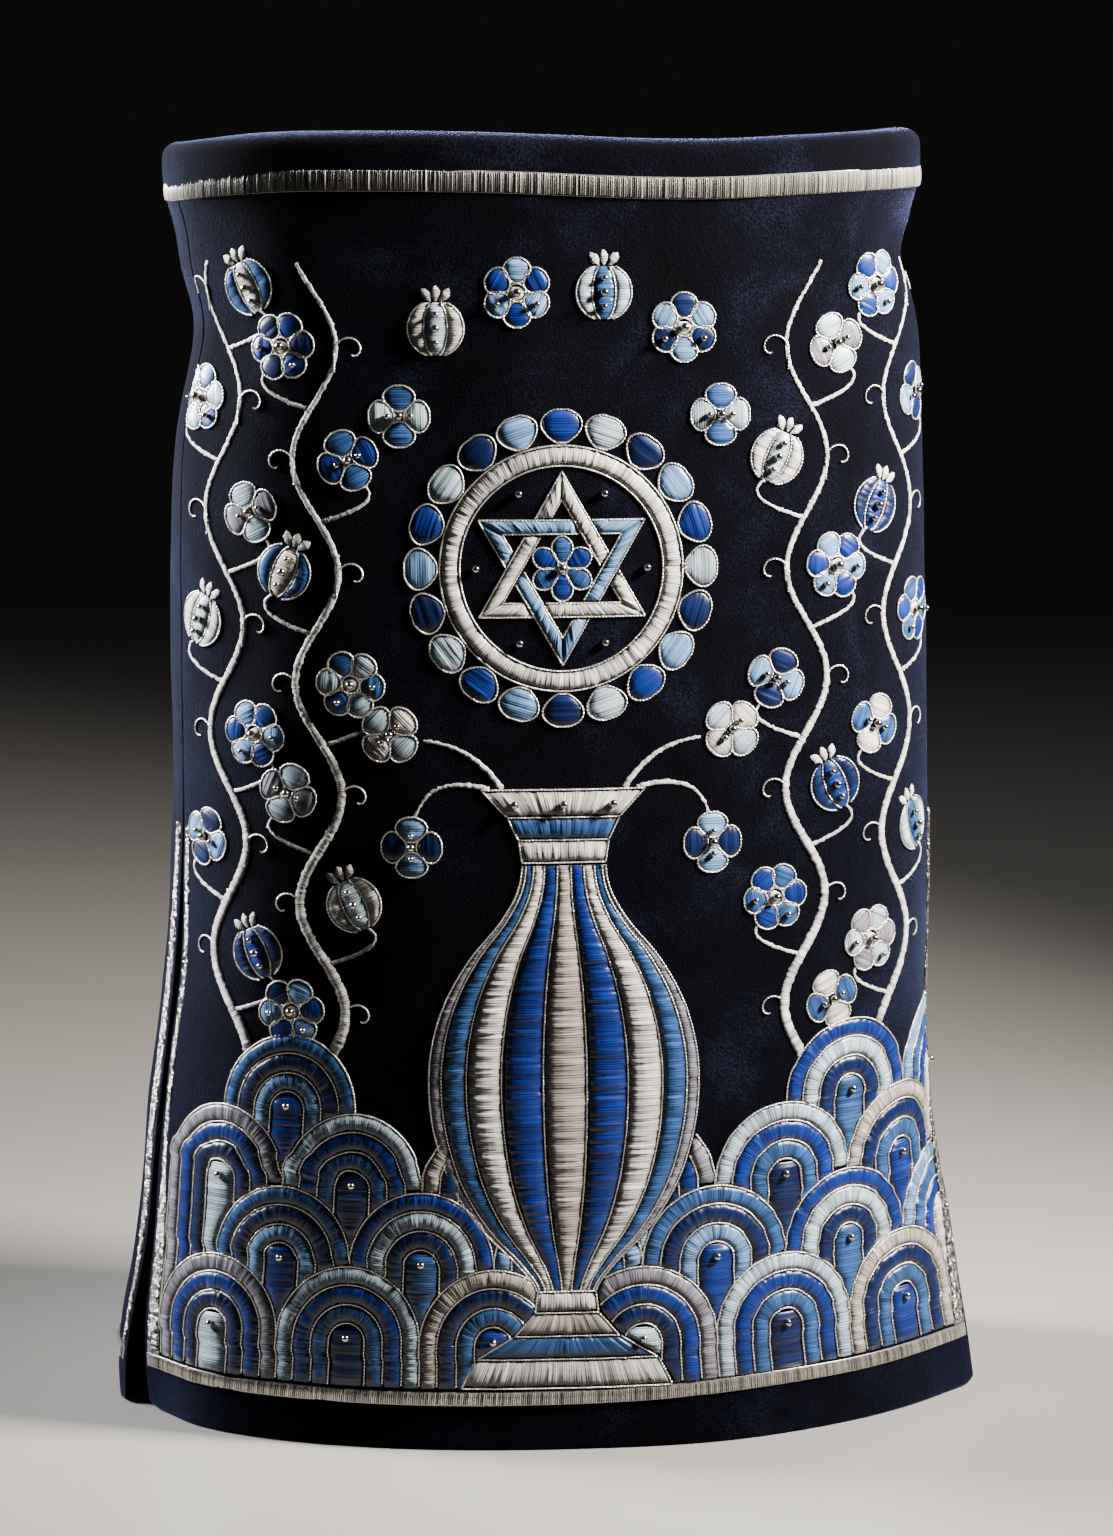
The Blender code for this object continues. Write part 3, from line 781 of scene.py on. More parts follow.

# %% [markdown]
# ## Padded satin stitch
# A padded patch is a low cushion under a layer of side by side stitches, so it is high in the middle
# of each stitch and falls to the cloth at its ends. A patch is built here as one closed sheet: every
# stitch is a ridge and every gap a valley, with ends a little ragged and heights a little uneven as
# in handwork. Each stitch's colour is painted darker towards its ends, and each gap is painted darker
# than its stitches, some almost black: painted shade where the threads dip into the cloth and between
# them. Stitches are written in u and v, so the patch bends with the cloth. Patches of one
# thread colour are gathered into one mesh.

# %% Sewing a patch
STITCH_PITCH = 0.00125
STITCH_GAP_DEPTH = 0.00024
STITCH_RAGGED = 0.00020
SEAM_GAP = 0.0003
# The share of gaps between stitches that get the darkest painted shade.
PAINTED_DARK_GAPS = 0.30
PAD_SINK = 0.0002
ALONG = np.array([0.0, 0.10, 0.27, 0.50, 0.73, 0.90, 1.0])
CROWN = np.array([0.0, 0.58, 0.88, 1.00, 0.88, 0.58, 0.0])
# Painted shade: each stitch's colour falls to a small fraction at its two ends, where it dips into the
# cloth.
PAINTED_END_SHADE = np.array([0.12, 0.55, 0.92, 1.05, 0.92, 0.55, 0.12])
DRIFT = 4
sewn = {colour: {"points": [], "faces": [], "stitch": [], "count": 0, "patches": 0}
        for colour in THREADS}


def sew(a, b, colour, rise):
    """One padded patch from stitches that run from a to b, both lists of (u, v)."""
    count = len(a)
    if count < 3:
        return
    a, b = np.array(a, float), np.array(b, float)
    run = b - a
    length = np.linalg.norm(run, axis=1)
    run /= np.maximum(length, 1e-6)[:, None]
    a -= run * rng.normal(0.0, STITCH_RAGGED, count)[:, None]
    b += run * rng.normal(0.0, STITCH_RAGGED, count)[:, None]
    place = np.arange(count)
    ends = np.minimum(place, count - 1 - place) / 2.5
    height = np.minimum(rise, 0.0003 + 0.16 * length) * np.clip(0.30 + 0.70 * ends, 0.0, 1.0)
    drift = np.convolve(rng.normal(0.0, 1.0, count + DRIFT - 1), np.ones(DRIFT) / DRIFT**0.5, "valid")
    height = height * (1.0 + 0.07 * rng.normal(0.0, 1.0, count) + 0.06 * drift)
    tone = (1.0 + 0.16 * rng.normal(0.0, 1.0, count) + 0.14 * drift).clip(0.45, 1.55)
    rows = 2 * count - 1
    start, stop = np.empty((rows, 2)), np.empty((rows, 2))
    start[0::2], stop[0::2] = a, b
    start[1::2], stop[1::2] = (a[:-1] + a[1:]) / 2.0, (b[:-1] + b[1:]) / 2.0
    top, light, index = np.empty(rows), np.empty(rows), np.arange(rows) / 2.0
    top[0::2], light[0::2] = height, tone
    sink = STITCH_GAP_DEPTH * rng.uniform(0.5, 1.8, count - 1)
    top[1::2] = (height[:-1] + height[1:]) / 2.0 - sink
    # Painted shade in the gaps between stitches: each gap's colour is a fraction of its neighbours',
    # nearly black in some.
    darkest_gap = rng.random(count - 1) < PAINTED_DARK_GAPS
    painted_gap_shade = np.where(darkest_gap, 0.16, rng.uniform(0.30, 0.75, count - 1))
    light[1::2] = 0.5 * (tone[:-1] + tone[1:]) * painted_gap_shade
    place_uv = start[:, None] + (stop - start)[:, None] * ALONG[None, :, None]
    out = np.maximum(top, 0.0001)[:, None] * CROWN[None, :]
    out[:, 0] = out[:, -1] = -PAD_SINK
    spots = on_cloth(place_uv[..., 0], place_uv[..., 1], out).reshape(-1, 3)
    span = np.linalg.norm(stop - start, axis=1)
    stitch = np.empty((rows, len(ALONG), 3))
    stitch[..., 0] = span[:, None] * ALONG[None, :]
    stitch[..., 1] = index[:, None]
    # The third value is the yarn's random tone times the painted shade towards the stitch ends.
    stitch[..., 2] = light[:, None] * PAINTED_END_SHADE[None, :]
    # More painted shade in the gaps, darkest towards one end of each gap and fading over a random
    # reach.
    slit = rng.integers(0, 2, count - 1)[:, None]
    reach = rng.uniform(0.10, 0.75, count - 1)[:, None] ** 1.5 + 0.05
    stitch[1::2, :, 2] *= 0.25 + 0.75 * np.clip(np.abs(ALONG[None, :] - slit) / reach, 0.0, 1.0)
    store = sewn[colour]
    first, wide = store["count"], len(ALONG)
    grid = first + np.arange(rows * wide).reshape(rows, wide)
    quads = np.stack([grid[:-1, :-1], grid[:-1, 1:], grid[1:, 1:], grid[1:, :-1]], axis=-1)
    under = np.stack([grid[:-1, 0], grid[1:, 0], grid[1:, -1], grid[:-1, -1]], axis=-1)
    faces = quads.reshape(-1, 4).tolist() + under.tolist() + [grid[0, ::-1].tolist(),
                                                              grid[-1].tolist()]
    if np.cross(run[0], a[-1] - a[0]) < 0.0:
        faces = [face[::-1] for face in faces]
    store["points"].append(spots)
    store["faces"].extend(faces)
    store["stitch"].append(stitch.reshape(-1, 3))
    store["count"] += len(spots)
    store["patches"] += 1


def finish_sewing(colour):
    """All the patches of one colour as one piece."""
    store = sewn[colour]
    piece = new_piece("embroidery_" + colour, np.vstack(store["points"]), store["faces"],
                      THREADS[colour])
    add_values(piece.data, stitch=np.vstack(store["stitch"]))
    print(piece.name, "patches:", store["patches"], "faces:", len(store["faces"]))
    return piece


def count_patches():
    return sum(store["patches"] for store in sewn.values())


# %% [markdown]
# ## Ways to fill a shape
# A maker picks the stitch direction that suits a shape. A band or a petal is sewn across its middle
# line, a ring is sewn along its radii, and a shape that passes behind another is cut off where the
# one in front begins. Each helper here only returns the two ends of its stitches.

# %% Filling shapes
def resample(path, step):
    path = np.asarray(path, float)
    length = lengths_along(path)
    count = max(3, int(round(length[-1] / step)) + 1)
    places = np.linspace(0.0, length[-1], count)
    return np.column_stack([np.interp(places, length, path[:, i]) for i in (0, 1)]), places


def across_path(path, left, right):
    """Stitches across a path. left and right are widths, as functions of the share along it."""
    spots, places = resample(path, STITCH_PITCH)
    ahead = np.gradient(spots, axis=0)
    ahead /= np.linalg.norm(ahead, axis=1)[:, None]
    side = np.column_stack([-ahead[:, 1], ahead[:, 0]])
    share = places / places[-1]
    return spots + side * left(share)[:, None], spots - side * right(share)[:, None]


def arc(centre, radius, start, stop, count=0):
    """Points on an arc, from one angle to another in degrees."""
    count = count or max(8, int(abs(math.radians(stop - start)) * radius / 0.001))
    angle = np.radians(np.linspace(start, stop, count))
    return np.column_stack([centre[0] + radius * np.cos(angle), centre[1] + radius * np.sin(angle)])


def inside(polygon, points):
    """Which points lie inside a closed polygon."""
    x, y = points[..., 0], points[..., 1]
    found = np.zeros(x.shape, bool)
    ahead = np.roll(polygon, -1, axis=0)
    for (x0, y0), (x1, y1) in zip(polygon, ahead):
        if y0 == y1:
            continue
        crosses = (y0 > y) != (y1 > y)
        found ^= crosses & (x < (x1 - x0) * (y - y0) / (y1 - y0) + x0)
    return found


def inside_any(outlines, points):
    """Which points lie inside any of some closed polygons."""
    found = np.zeros(points.shape[:-1], bool)
    for outline in outlines:
        found |= inside(outline, points)
    return found


PROBES = np.linspace(0.0, 1.0, 25)
SHORTEST = 0.0012


def trim(a, b, hidden):
    """Cuts stitches to their longest part that shows, as runs of neighbours."""
    probes = a[:, None] + (b - a)[:, None] * PROBES[None, :, None]
    shown = ~hidden(probes)
    runs, current = [], []
    for index in range(len(a)):
        best, begin = (0, 0), None
        for step in range(len(PROBES) + 1):
            if step < len(PROBES) and shown[index, step]:
                begin = step if begin is None else begin
            elif begin is not None:
                if step - begin > best[1] - best[0]:
                    best = (begin, step)
                begin = None
        first, last = PROBES[best[0]], PROBES[max(best[1] - 1, 0)]
        whole = b[index] - a[index]
        if best[1] and np.linalg.norm(whole) * (last - first) > SHORTEST:
            current.append((a[index] + whole * first, a[index] + whole * last))
        elif current:
            runs.append(current)
            current = []
    if current:
        runs.append(current)
    return [(np.array([s[0] for s in run]), np.array([s[1] for s in run])) for run in runs]


print("shortest stitch: %.1f mm" % (1000 * SHORTEST))


# %% [markdown]
# ## Couched cord and beads
# A twisted silver cord is laid round each patch and sewn down with tiny stitches, and polished beads
# sit in threes on the motifs. Both are only noted while the motifs are drawn: a cord as a line of
# points on the cloth, a bead as a point with a size. Geometry Nodes make them all at once later.

# %% Notes for cords and beads
CORD_WIDTH = 0.00125
CORD_LIFT = 0.00045
CORD_STEP = 0.0010
cord_lines = []
beads = {"spots": [], "outward": [], "size": []}


def couch(path, closed=False, hidden=None, lift=CORD_LIFT, warp=None):
    """Notes a cord along a path of (u, v) points, left out where it is hidden."""
    path = np.asarray(path, float)
    if closed:
        path = np.vstack([path, path[:1]])
    spots, _ = resample(path, CORD_STEP)
    shown = np.ones(len(spots), bool) if hidden is None else ~hidden(spots)
    spots = warp(spots) if warp else spots
    run = []
    for spot, show in zip(spots, shown):
        if show:
            run.append(spot)
        elif run:
            if len(run) > 3:
                cord_lines.append((np.array(run), lift))
            run = []
    if len(run) > 3:
        cord_lines.append((np.array(run), lift))


def set_bead(u, v, size, under=0.0):
    """Notes a bead on the cloth, or on a pad that is as high as under."""
    lift = under + size * 0.36
    spot, higher = on_cloth([u], [v], lift)[0], on_cloth([u], [v], lift + 0.01)[0]
    beads["spots"].append(spot)
    beads["outward"].append((higher - spot) / 0.01)
    beads["size"].append(size)


print("sewing helpers ready")

# %% [markdown]
# ## The field of arches
# The lower third of the front is filled with tiers of overlapping arches, each a nest of bands in
# blues, greys and silver. The arches are drawn on a flat field and then warped, so that the field's
# sides run along the slit borders and its foot along the hem band. A tier in front hides part of the
# one behind, which the trimming does with the front tier's outlines.

# %% Warping the flat field to the panel
FIELD_HALF = 0.225
FIELD_FOOT = 0.0305
BORDER_REACH = 0.0125
FADE_HIGH = 0.120


def hem_rise(u):
    """How far the hem band's upper edge is above its usual place."""
    low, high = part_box("front_hem_border")
    share = np.clip((np.asarray(u) + 0.03) / 0.24, 0.0, 1.0)
    return (high.z - 0.0293) * share * share * (3.0 - 2.0 * share)


def warp_field(points):
    points = np.asarray(points, float)
    x, v = points[..., 0], points[..., 1]
    left = -cloth_edge(v, -1) - BORDER_REACH
    right = cloth_edge(v, 1) - BORDER_REACH
    u = x / FIELD_HALF * np.where(x < 0.0, left, right)
    fade = np.clip((FADE_HIGH - v) / (FADE_HIGH - FIELD_FOOT), 0.0, 1.0)
    return np.stack([u, v + hem_rise(u) * fade], axis=-1)


print("the hem band rises %.1f mm to the right" % (1000 * float(hem_rise(FIELD_HALF))))

# %% Tables of the arches and the vase
ARCH_RADIUS = 0.0375
ARCH_TIERS = ((0.052, 0.0), (0.090, 0.5), (0.128, 0.0), (0.166, 0.5))
ARCH_BANDS = ((1.00, 0.76), (0.76, 0.50), (0.50, 0.25), (0.25, 0.0))
ARCH_COLOURS = (
    ("ice", "royal", "mid", "navy"),
    ("mid", "navy", "light", "royal"),
    ("mauve", "royal", "navy", "ice"),
    ("light", "mid", "royal", "silver"),
    ("taupe", "navy", "mid", "royal"),
    ("royal", "ice", "navy", "mid"),
)
VASE = ((0.0300, 0.052), (0.0400, 0.051), (0.0480, 0.040), (0.0580, 0.024), (0.0700, 0.0150),
        (0.0800, 0.0150), (0.0920, 0.024), (0.1080, 0.040), (0.1280, 0.054), (0.1500, 0.0625),
        (0.1750, 0.0665), (0.2000, 0.065), (0.2250, 0.0570), (0.2450, 0.045), (0.2620, 0.031),
        (0.2760, 0.023), (0.2900, 0.0205), (0.3040, 0.0230), (0.3160, 0.0300), (0.3260, 0.0400))
VASE_HEIGHTS = np.array([row[0] for row in VASE])
VASE_HALVES = np.array([row[1] for row in VASE])


def vase_half(v):
    """The vase's half width at a height, on a smooth curve through its table."""
    slopes = np.gradient(VASE_HALVES, VASE_HEIGHTS)
    v = np.clip(np.asarray(v, float), VASE_HEIGHTS[0], VASE_HEIGHTS[-1])
    i = np.clip(np.searchsorted(VASE_HEIGHTS, v) - 1, 0, len(VASE) - 2)
    span = VASE_HEIGHTS[i + 1] - VASE_HEIGHTS[i]
    t = (v - VASE_HEIGHTS[i]) / span
    return (VASE_HALVES[i] * (2 * t**3 - 3 * t**2 + 1) + slopes[i] * span * (t**3 - 2 * t**2 + t)
            + VASE_HALVES[i + 1] * (3 * t**2 - 2 * t**3) + slopes[i + 1] * span * (t**3 - t**2))


VASE_MARGIN = 0.0008
VASE_BANDS = ((0.0312, 0.0445, "silver"), (0.0455, 0.0560, "mid"), (0.0570, 0.0675, "taupe"),
              (0.0685, 0.0780, "silver"), (0.2910, 0.3010, "silver"), (0.3020, 0.3120, "mid"),
              (0.3130, 0.3255, "silver"))
BODY_LOW, BODY_HIGH = 0.0790, 0.2900
vase_rows = np.concatenate([[row[0] for row in VASE_BANDS[:4]],
                            np.linspace(BODY_LOW, BODY_HIGH, 60),
                            [row[1] for row in VASE_BANDS[4:]]])
vase_side = vase_half(vase_rows) + VASE_MARGIN
VASE_OUTLINE = np.vstack([np.column_stack([vase_side, vase_rows]),
                          np.column_stack([-vase_side, vase_rows])[::-1]])
print("vase outline points:", len(VASE_OUTLINE))

# %% Stitches of one arch
def arch_outline(x, height, radius=ARCH_RADIUS):
    return np.vstack([[(x - radius, FIELD_FOOT - 0.004)], arc((x, height), radius, 180.0, 0.0, 40),
                      [(x + radius, FIELD_FOOT - 0.004)]])


def arch_band(x, height, outer, inner):
    """Stitches of one band: up its left leg, over the top and down its right leg."""
    legs = np.arange(FIELD_FOOT, height, STITCH_PITCH)
    turns = np.arange(math.pi, 0.0, -STITCH_PITCH / max((outer + inner) / 2.0, 0.008))
    leg = np.column_stack([np.zeros(len(legs)), legs])
    over = np.column_stack([np.cos(turns), np.sin(turns)])
    first, last = [], []
    for radius, ends in ((outer, first), (inner, last)):
        ends.append(leg + (x - radius, 0.0))
        ends.append(over * radius + (x, height))
        ends.append(leg[::-1] + (x + radius, 0.0))
    return np.vstack(first), np.vstack(last)


def arch_core(x, height, radius):
    """Stitches of the middle tongue, level from side to side."""
    rows = np.arange(FIELD_FOOT, height + radius - 0.0006, STITCH_PITCH)
    half = np.sqrt(np.maximum(radius**2 - np.maximum(rows - height, 0.0) ** 2, 0.0))
    return np.column_stack([x - half, rows]), np.column_stack([x + half, rows])


def off_field(points):
    return (np.abs(points[..., 0]) > FIELD_HALF) | (points[..., 1] < FIELD_FOOT)


print("arch tiers:", len(ARCH_TIERS))

# %% Sewing the arches
ARCH_RISE = 0.0019
ARCH_CORE = 0.001
ARCH_BEAD, ARCH_BEAD_UP, ARCH_BEAD_UNDER = 0.0040, 0.002, 0.0012
VASE_CLEAR = 0.08


def sew_arches():
    in_front = [VASE_OUTLINE]

    def hidden(points):
        return off_field(points) | inside_any(in_front, points)

    for tier, (height, shift) in enumerate(ARCH_TIERS):
        outlines = []
        for column in np.arange(-3, 4) + 0.5 + shift:
            x = 2.0 * ARCH_RADIUS * column
            if abs(x) > FIELD_HALF + ARCH_RADIUS * 0.98:
                continue
            if tier == len(ARCH_TIERS) - 1 and abs(x) < VASE_CLEAR:
                continue
            colours = ARCH_COLOURS[(int(round(column * 2)) * 2 + tier * 3) % len(ARCH_COLOURS)]
            for (outer, inner), colour in zip(ARCH_BANDS, colours):
                outer, inner = outer * ARCH_RADIUS - SEAM_GAP, inner * ARCH_RADIUS + SEAM_GAP
                if inner < ARCH_CORE:
                    a, b = arch_core(x, height, outer)
                else:
                    a, b = arch_band(x, height, outer, inner)
                for a_run, b_run in trim(a, b, hidden):
                    sew(warp_field(a_run), warp_field(b_run), colour, ARCH_RISE)
                couch(arch_outline(x, height, outer + SEAM_GAP), hidden=hidden, warp=warp_field)
            centre = (x, height + ARCH_BEAD_UP)
            if not hidden(np.array([centre]))[0]:
                u, v = warp_field(centre)
                set_bead(float(u), float(v), ARCH_BEAD, ARCH_BEAD_UNDER)
            outlines.append(arch_outline(x, height))
        in_front.extend(outlines)
    return in_front


ARCH_OUTLINES = sew_arches()
print("arches sewn:", count_patches(), "patches")

# %% [markdown]
# ## The vase
# A tall gadrooned vase stands in the middle: upright ribs of thread that swell and narrow with its
# outline, in greys, silver and blues. Each rib is sewn level across its own width, so only the
# outline's table and the list of colours are needed.

# %% The vase
RIB_COLOURS = ("mauve", "mid", "silver", "royal", "taupe", "royal", "silver", "mid", "mauve")
RIB_RISE, VASE_BAND_RISE = 0.0025, 0.0017
RIB_SHORTEST = 0.0007
RIB_TURN = 0.92
CORD_CLEAR = 0.0005
VASE_BEADS, VASE_BEAD_HEIGHT, VASE_BEAD = (-0.024, 0.0, 0.024), 0.3190, 0.0042


def rib_edges(count):
    """Where the ribs meet, as shares of the half width: narrower towards the sides, as on a round
    vessel seen from the front."""
    turns = np.linspace(-math.pi / 2.0, math.pi / 2.0, count + 1)
    return np.sin(turns * RIB_TURN) / math.sin(math.pi / 2.0 * RIB_TURN)


def upright_ribs(rows, half, edges, gap, shortest):
    """Stitches of each rib between its two edges, which are shares of the half width."""
    for left, right in zip(edges, edges[1:]):
        a = np.column_stack([half * left + gap, rows])
        b = np.column_stack([half * right - gap, rows])
        keep = (b - a)[:, 0] > shortest
        yield a[keep], b[keep]


def sew_vase():
    rows = np.arange(BODY_LOW, BODY_HIGH, STITCH_PITCH)
    half = vase_half(rows)
    edges = rib_edges(len(RIB_COLOURS))
    for (a, b), colour in zip(upright_ribs(rows, half, edges, SEAM_GAP, RIB_SHORTEST), RIB_COLOURS):
        sew(a, b, colour, RIB_RISE)
    for edge in edges:
        couch(np.column_stack([half * edge, rows]))
    for low, high, colour in VASE_BANDS:
        columns = np.arange(-1.0, 1.0001, STITCH_PITCH / float(vase_half((low + high) / 2.0)))
        a = np.column_stack([columns * vase_half(low), np.full(len(columns), low)])
        b = np.column_stack([columns * vase_half(high), np.full(len(columns), high)])
        sew(a, b, colour, VASE_BAND_RISE)
        for level in (low - CORD_CLEAR, high + CORD_CLEAR):
            reach = float(vase_half(level))
            couch([(-reach, level), (reach, level)])
        for side in (-1.0, 1.0):
            couch([(side * float(vase_half(low)), low), (side * float(vase_half(high)), high)])
    for x in VASE_BEADS:
        set_bead(x, VASE_BEAD_HEIGHT, VASE_BEAD, VASE_BAND_RISE)


sew_vase()
print("patches so far:", count_patches())

# %% [markdown]
# ## The star medallion
# Above the vase is a ring of rounded petals round an interlaced six pointed star, the plainest motif
# of its kind. The star is two triangles of satin bars. Where two bars cross, one passes under and is
# trimmed, over and under in turn, as in strapwork.

# %% The medallion
STAR_CENTRE = np.array((0.0, 0.4330))
STAR_RADIUS = 0.0400
BAR_HALF = 0.0033
RING_OUTER, RING_INNER = 0.0585, 0.0500
PETAL_COUNT = 20
PETAL_REACH = 0.0165
PETAL_COLOURS = ("royal", "light", "navy", "ice")
RING_RISE, BAR_RISE, PETAL_RISE, SMALL_PETAL_RISE = 0.0016, 0.0016, 0.0015, 0.0012
RING_CORD_OUT, RING_PETAL_OUT = 0.0006, 0.0016
PETAL_HALF, SMALL_PETAL_HALF = 0.0100, 0.0052
STAR_BEAD_RADIUS, STAR_BEAD, MIDDLE_BEAD = 0.0415, 0.0040, 0.0048
SMALL_PETAL_BASE, SMALL_PETAL_TIP = 0.0022, 0.0160
UNDER_GAP = 0.0008


def ring_band(centre, outer, inner, colour, rise):
    count = int(math.pi * (outer + inner) / STITCH_PITCH)
    turns = np.linspace(0.0, 2.0 * math.pi, count + 1)
    over = np.column_stack([np.cos(turns), np.sin(turns)])
    sew(over * outer + centre, over * inner + centre, colour, rise)


def polar(centre, radius, degrees):
    angle = math.radians(degrees)
    return np.array((centre[0] + radius * math.cos(angle), centre[1] + radius * math.sin(angle)))


def bar_outline(start, stop, half):
    ahead = (stop - start) / np.linalg.norm(stop - start)
    side = np.array((-ahead[1], ahead[0])) * half
    return np.array([start + side, stop + side, stop - side, start - side])


def round_petal(base, tip, half, fullness=0.62):
    """Stitches across a petal with a round tip, and its outline."""
    path = np.array([base + (tip - base) * t for t in np.linspace(0.02, 0.98, 12)])

    def width(share):
        return half * np.sin(math.pi * np.clip(0.04 + 0.93 * share, 0.0, 1.0) ** 1.25) ** fullness

    a, b = across_path(path, width, width)
    return a, b, np.vstack([a, b[::-1]])


print("petals:", PETAL_COUNT)

# %% Sewing the medallion
def sew_star():
    ring_band(STAR_CENTRE, RING_OUTER, RING_INNER, "silver", RING_RISE)
    for radius in (RING_OUTER + RING_CORD_OUT, RING_INNER - RING_CORD_OUT):
        couch(arc(STAR_CENTRE, radius, 0.0, 360.0))
    for index in range(PETAL_COUNT):
        turn = 90.0 + 360.0 / PETAL_COUNT * index
        base = polar(STAR_CENTRE, RING_OUTER + RING_PETAL_OUT, turn)
        tip = polar(STAR_CENTRE, RING_OUTER + RING_PETAL_OUT + PETAL_REACH, turn)
        a, b, outline = round_petal(base, tip, PETAL_HALF, 0.50)
        sew(a, b, PETAL_COLOURS[index % len(PETAL_COLOURS)], PETAL_RISE)
        couch(outline, closed=True)
    bars = []
    for triangle, colour in ((0, "silver"), (1, "light")):
        corners = [polar(STAR_CENTRE, STAR_RADIUS, 90.0 + 60.0 * triangle + 120.0 * i)
                   for i in range(3)]
        for i in range(3):
            bars.append((corners[i], corners[(i + 1) % 3], colour, triangle))
    for number, (start, stop, colour, triangle) in enumerate(bars):
        overs = []
        for other, (o_start, o_stop, _, o_triangle) in enumerate(bars):
            if o_triangle == triangle:
                continue
            run, o_run = stop - start, o_stop - o_start
            cross = run[0] * o_run[1] - run[1] * o_run[0]
            gap = o_start - start
            t = (gap[0] * o_run[1] - gap[1] * o_run[0]) / cross if abs(cross) > 1e-9 else -1.0
            if not 0.05 < t < 0.95:
                continue
            if t < 0.5:
                overs.append(bar_outline(o_start, o_stop, BAR_HALF + UNDER_GAP))

        def hidden(points, overs=tuple(overs)):
            return inside_any(overs, points)
        edges = []
        for reach in (2.0 * BAR_HALF, -2.0 * BAR_HALF):
            scale = 1.0 + reach / STAR_RADIUS
            edges.append([STAR_CENTRE + (corner - STAR_CENTRE) * scale for corner in (start, stop)])
        count = int(np.linalg.norm(edges[0][1] - edges[0][0]) / STITCH_PITCH)
        share = np.linspace(0.004, 0.996, count)[:, None]
        a, b = (edge[0] + (edge[1] - edge[0]) * share for edge in edges)
        for a_run, b_run in trim(a, b, hidden):
            sew(a_run, b_run, colour, BAR_RISE)
        for edge in edges:
            couch(edge, hidden=hidden)
    for index in range(6):
        turn = 60.0 * index
        set_bead(*polar(STAR_CENTRE, STAR_BEAD_RADIUS, turn), STAR_BEAD)
        base = polar(STAR_CENTRE, SMALL_PETAL_BASE, turn + 30.0)
        tip = polar(STAR_CENTRE, SMALL_PETAL_TIP, turn + 30.0)
        a, b, outline = round_petal(base, tip, SMALL_PETAL_HALF)
        sew(a, b, "mid" if index % 2 else "royal", SMALL_PETAL_RISE)
        couch(outline, closed=True)
    set_bead(*STAR_CENTRE, MIDDLE_BEAD)


sew_star()
print("patches so far:", count_patches())

# %% [markdown]
# ## Rosettes, pomegranates and vines
# The upper field is strewn with small round motifs between waving stems. Each motif is a function of
# its place, its turn and its two colours, so the whole field is one short list. Every motif carries
# three beads.

# %% Small motifs
SMALL_BEADS = (0.0032, 0.0042, 0.0032)
ROSETTE_BEADS = (0.0032, 0.0044, 0.0032)
FRUIT_RADIUS, FRUIT_HALF_ROWS = 0.0135, 0.0128
FRUIT_EDGES = (-1.0, -0.42, 0.42, 1.0)


def ray(degrees):
    """A direction at an angle from straight up."""
    angle = math.radians(degrees)
    return np.array((math.sin(angle), math.cos(angle)))


def placed(centre, turn):
    """A function that puts local points at a place and turn on the cloth."""
    angle = math.radians(turn)
    matrix = np.array(((math.cos(angle), math.sin(angle)), (-math.sin(angle), math.cos(angle))))

    def place(points):
        return np.asarray(points, float) @ matrix + np.asarray(centre)
    return place


def sew_petal(place, base, tip, half, colour, rise=0.0013, fullness=0.55, cord=True):
    a, b, outline = round_petal(base, tip, half, fullness)
    sew(place(a), place(b), colour, rise)
    if cord:
        couch(place(outline), closed=True)


def sew_petals(place, count, start, reach, half, colours):
    """A ring of petals in two colours by turns."""
    for index in range(count):
        way = ray(360.0 / count * index)
        sew_petal(place, way * start, way * reach, half, colours[index % 2])


def sew_disc(place, radius, colour, rise=0.0015):
    rows = np.arange(-radius + 0.0004, radius - 0.0002, STITCH_PITCH)
    half = np.sqrt(radius**2 - rows**2)
    sew(place(np.column_stack([-half, rows])), place(np.column_stack([half, rows])), colour, rise)
    couch(place(arc((0.0, 0.0), radius + 0.0004, 0.0, 360.0)))


def bead_row(place, spots, sizes, under):
    for spot, size in zip(spots, sizes):
        u, v = place([spot])[0]
        set_bead(float(u), float(v), size, under)


def rosette(centre, turn, outer, inner):
    place = placed(centre, turn)
    sew_petals(place, 6, 0.0042, 0.0168, 0.0066, (inner, outer))
    sew_disc(place, 0.0040, "silver")
    bead_row(place, [(-0.0095, -0.0055), (0.0, 0.0), (0.0095, -0.0055)], ROSETTE_BEADS, 0.0013)


def pomegranate(centre, turn, outer, inner):
    place = placed(centre, turn)
    rows = np.arange(-FRUIT_HALF_ROWS, FRUIT_HALF_ROWS + 0.0001, STITCH_PITCH)
    half = FRUIT_RADIUS * np.sqrt(np.maximum(1.0 - (rows / FRUIT_RADIUS) ** 2, 0.0))
    ribs = upright_ribs(rows, half, FRUIT_EDGES, 0.0002, 0.0008)
    for (a, b), colour in zip(ribs, (outer, inner, outer)):
        sew(place(a), place(b), colour, 0.0017)
    for edge in FRUIT_EDGES:
        couch(place(np.column_stack([half * edge, rows])))
    for lean in (-34.0, 0.0, 34.0):
        way = ray(lean)
        base = np.array((way[0] * 0.004, 0.0125))
        sew_petal(place, base, base + way * 0.0078, 0.0024, "silver", 0.0010, 0.8, False)
    bead_row(place, [(0.0, -0.0068), (0.0, 0.0), (0.0, 0.0068)], SMALL_BEADS, 0.0016)


def quatrefoil(centre, turn, outer, inner):
    place = placed(centre, turn)
    sew_petals(place, 4, 0.0022, 0.0150, 0.0078, (inner, outer))
    bead_row(place, [(-0.0056, 0.0), (0.0, 0.0), (0.0056, 0.0)], SMALL_BEADS, 0.0012)


print("motifs:", [kind.__name__ for kind in (rosette, pomegranate, quatrefoil)])


# %% [markdown]
# ## Laying out the upper field
# Two waving stems rise on each side of the medallion. A stem is a sine curve about its own upright
# line, sewn across in silver and getting thinner upwards, and a motif fills each of its bends. A
# short curl of cord leaves the stem on the outer side of each bend.

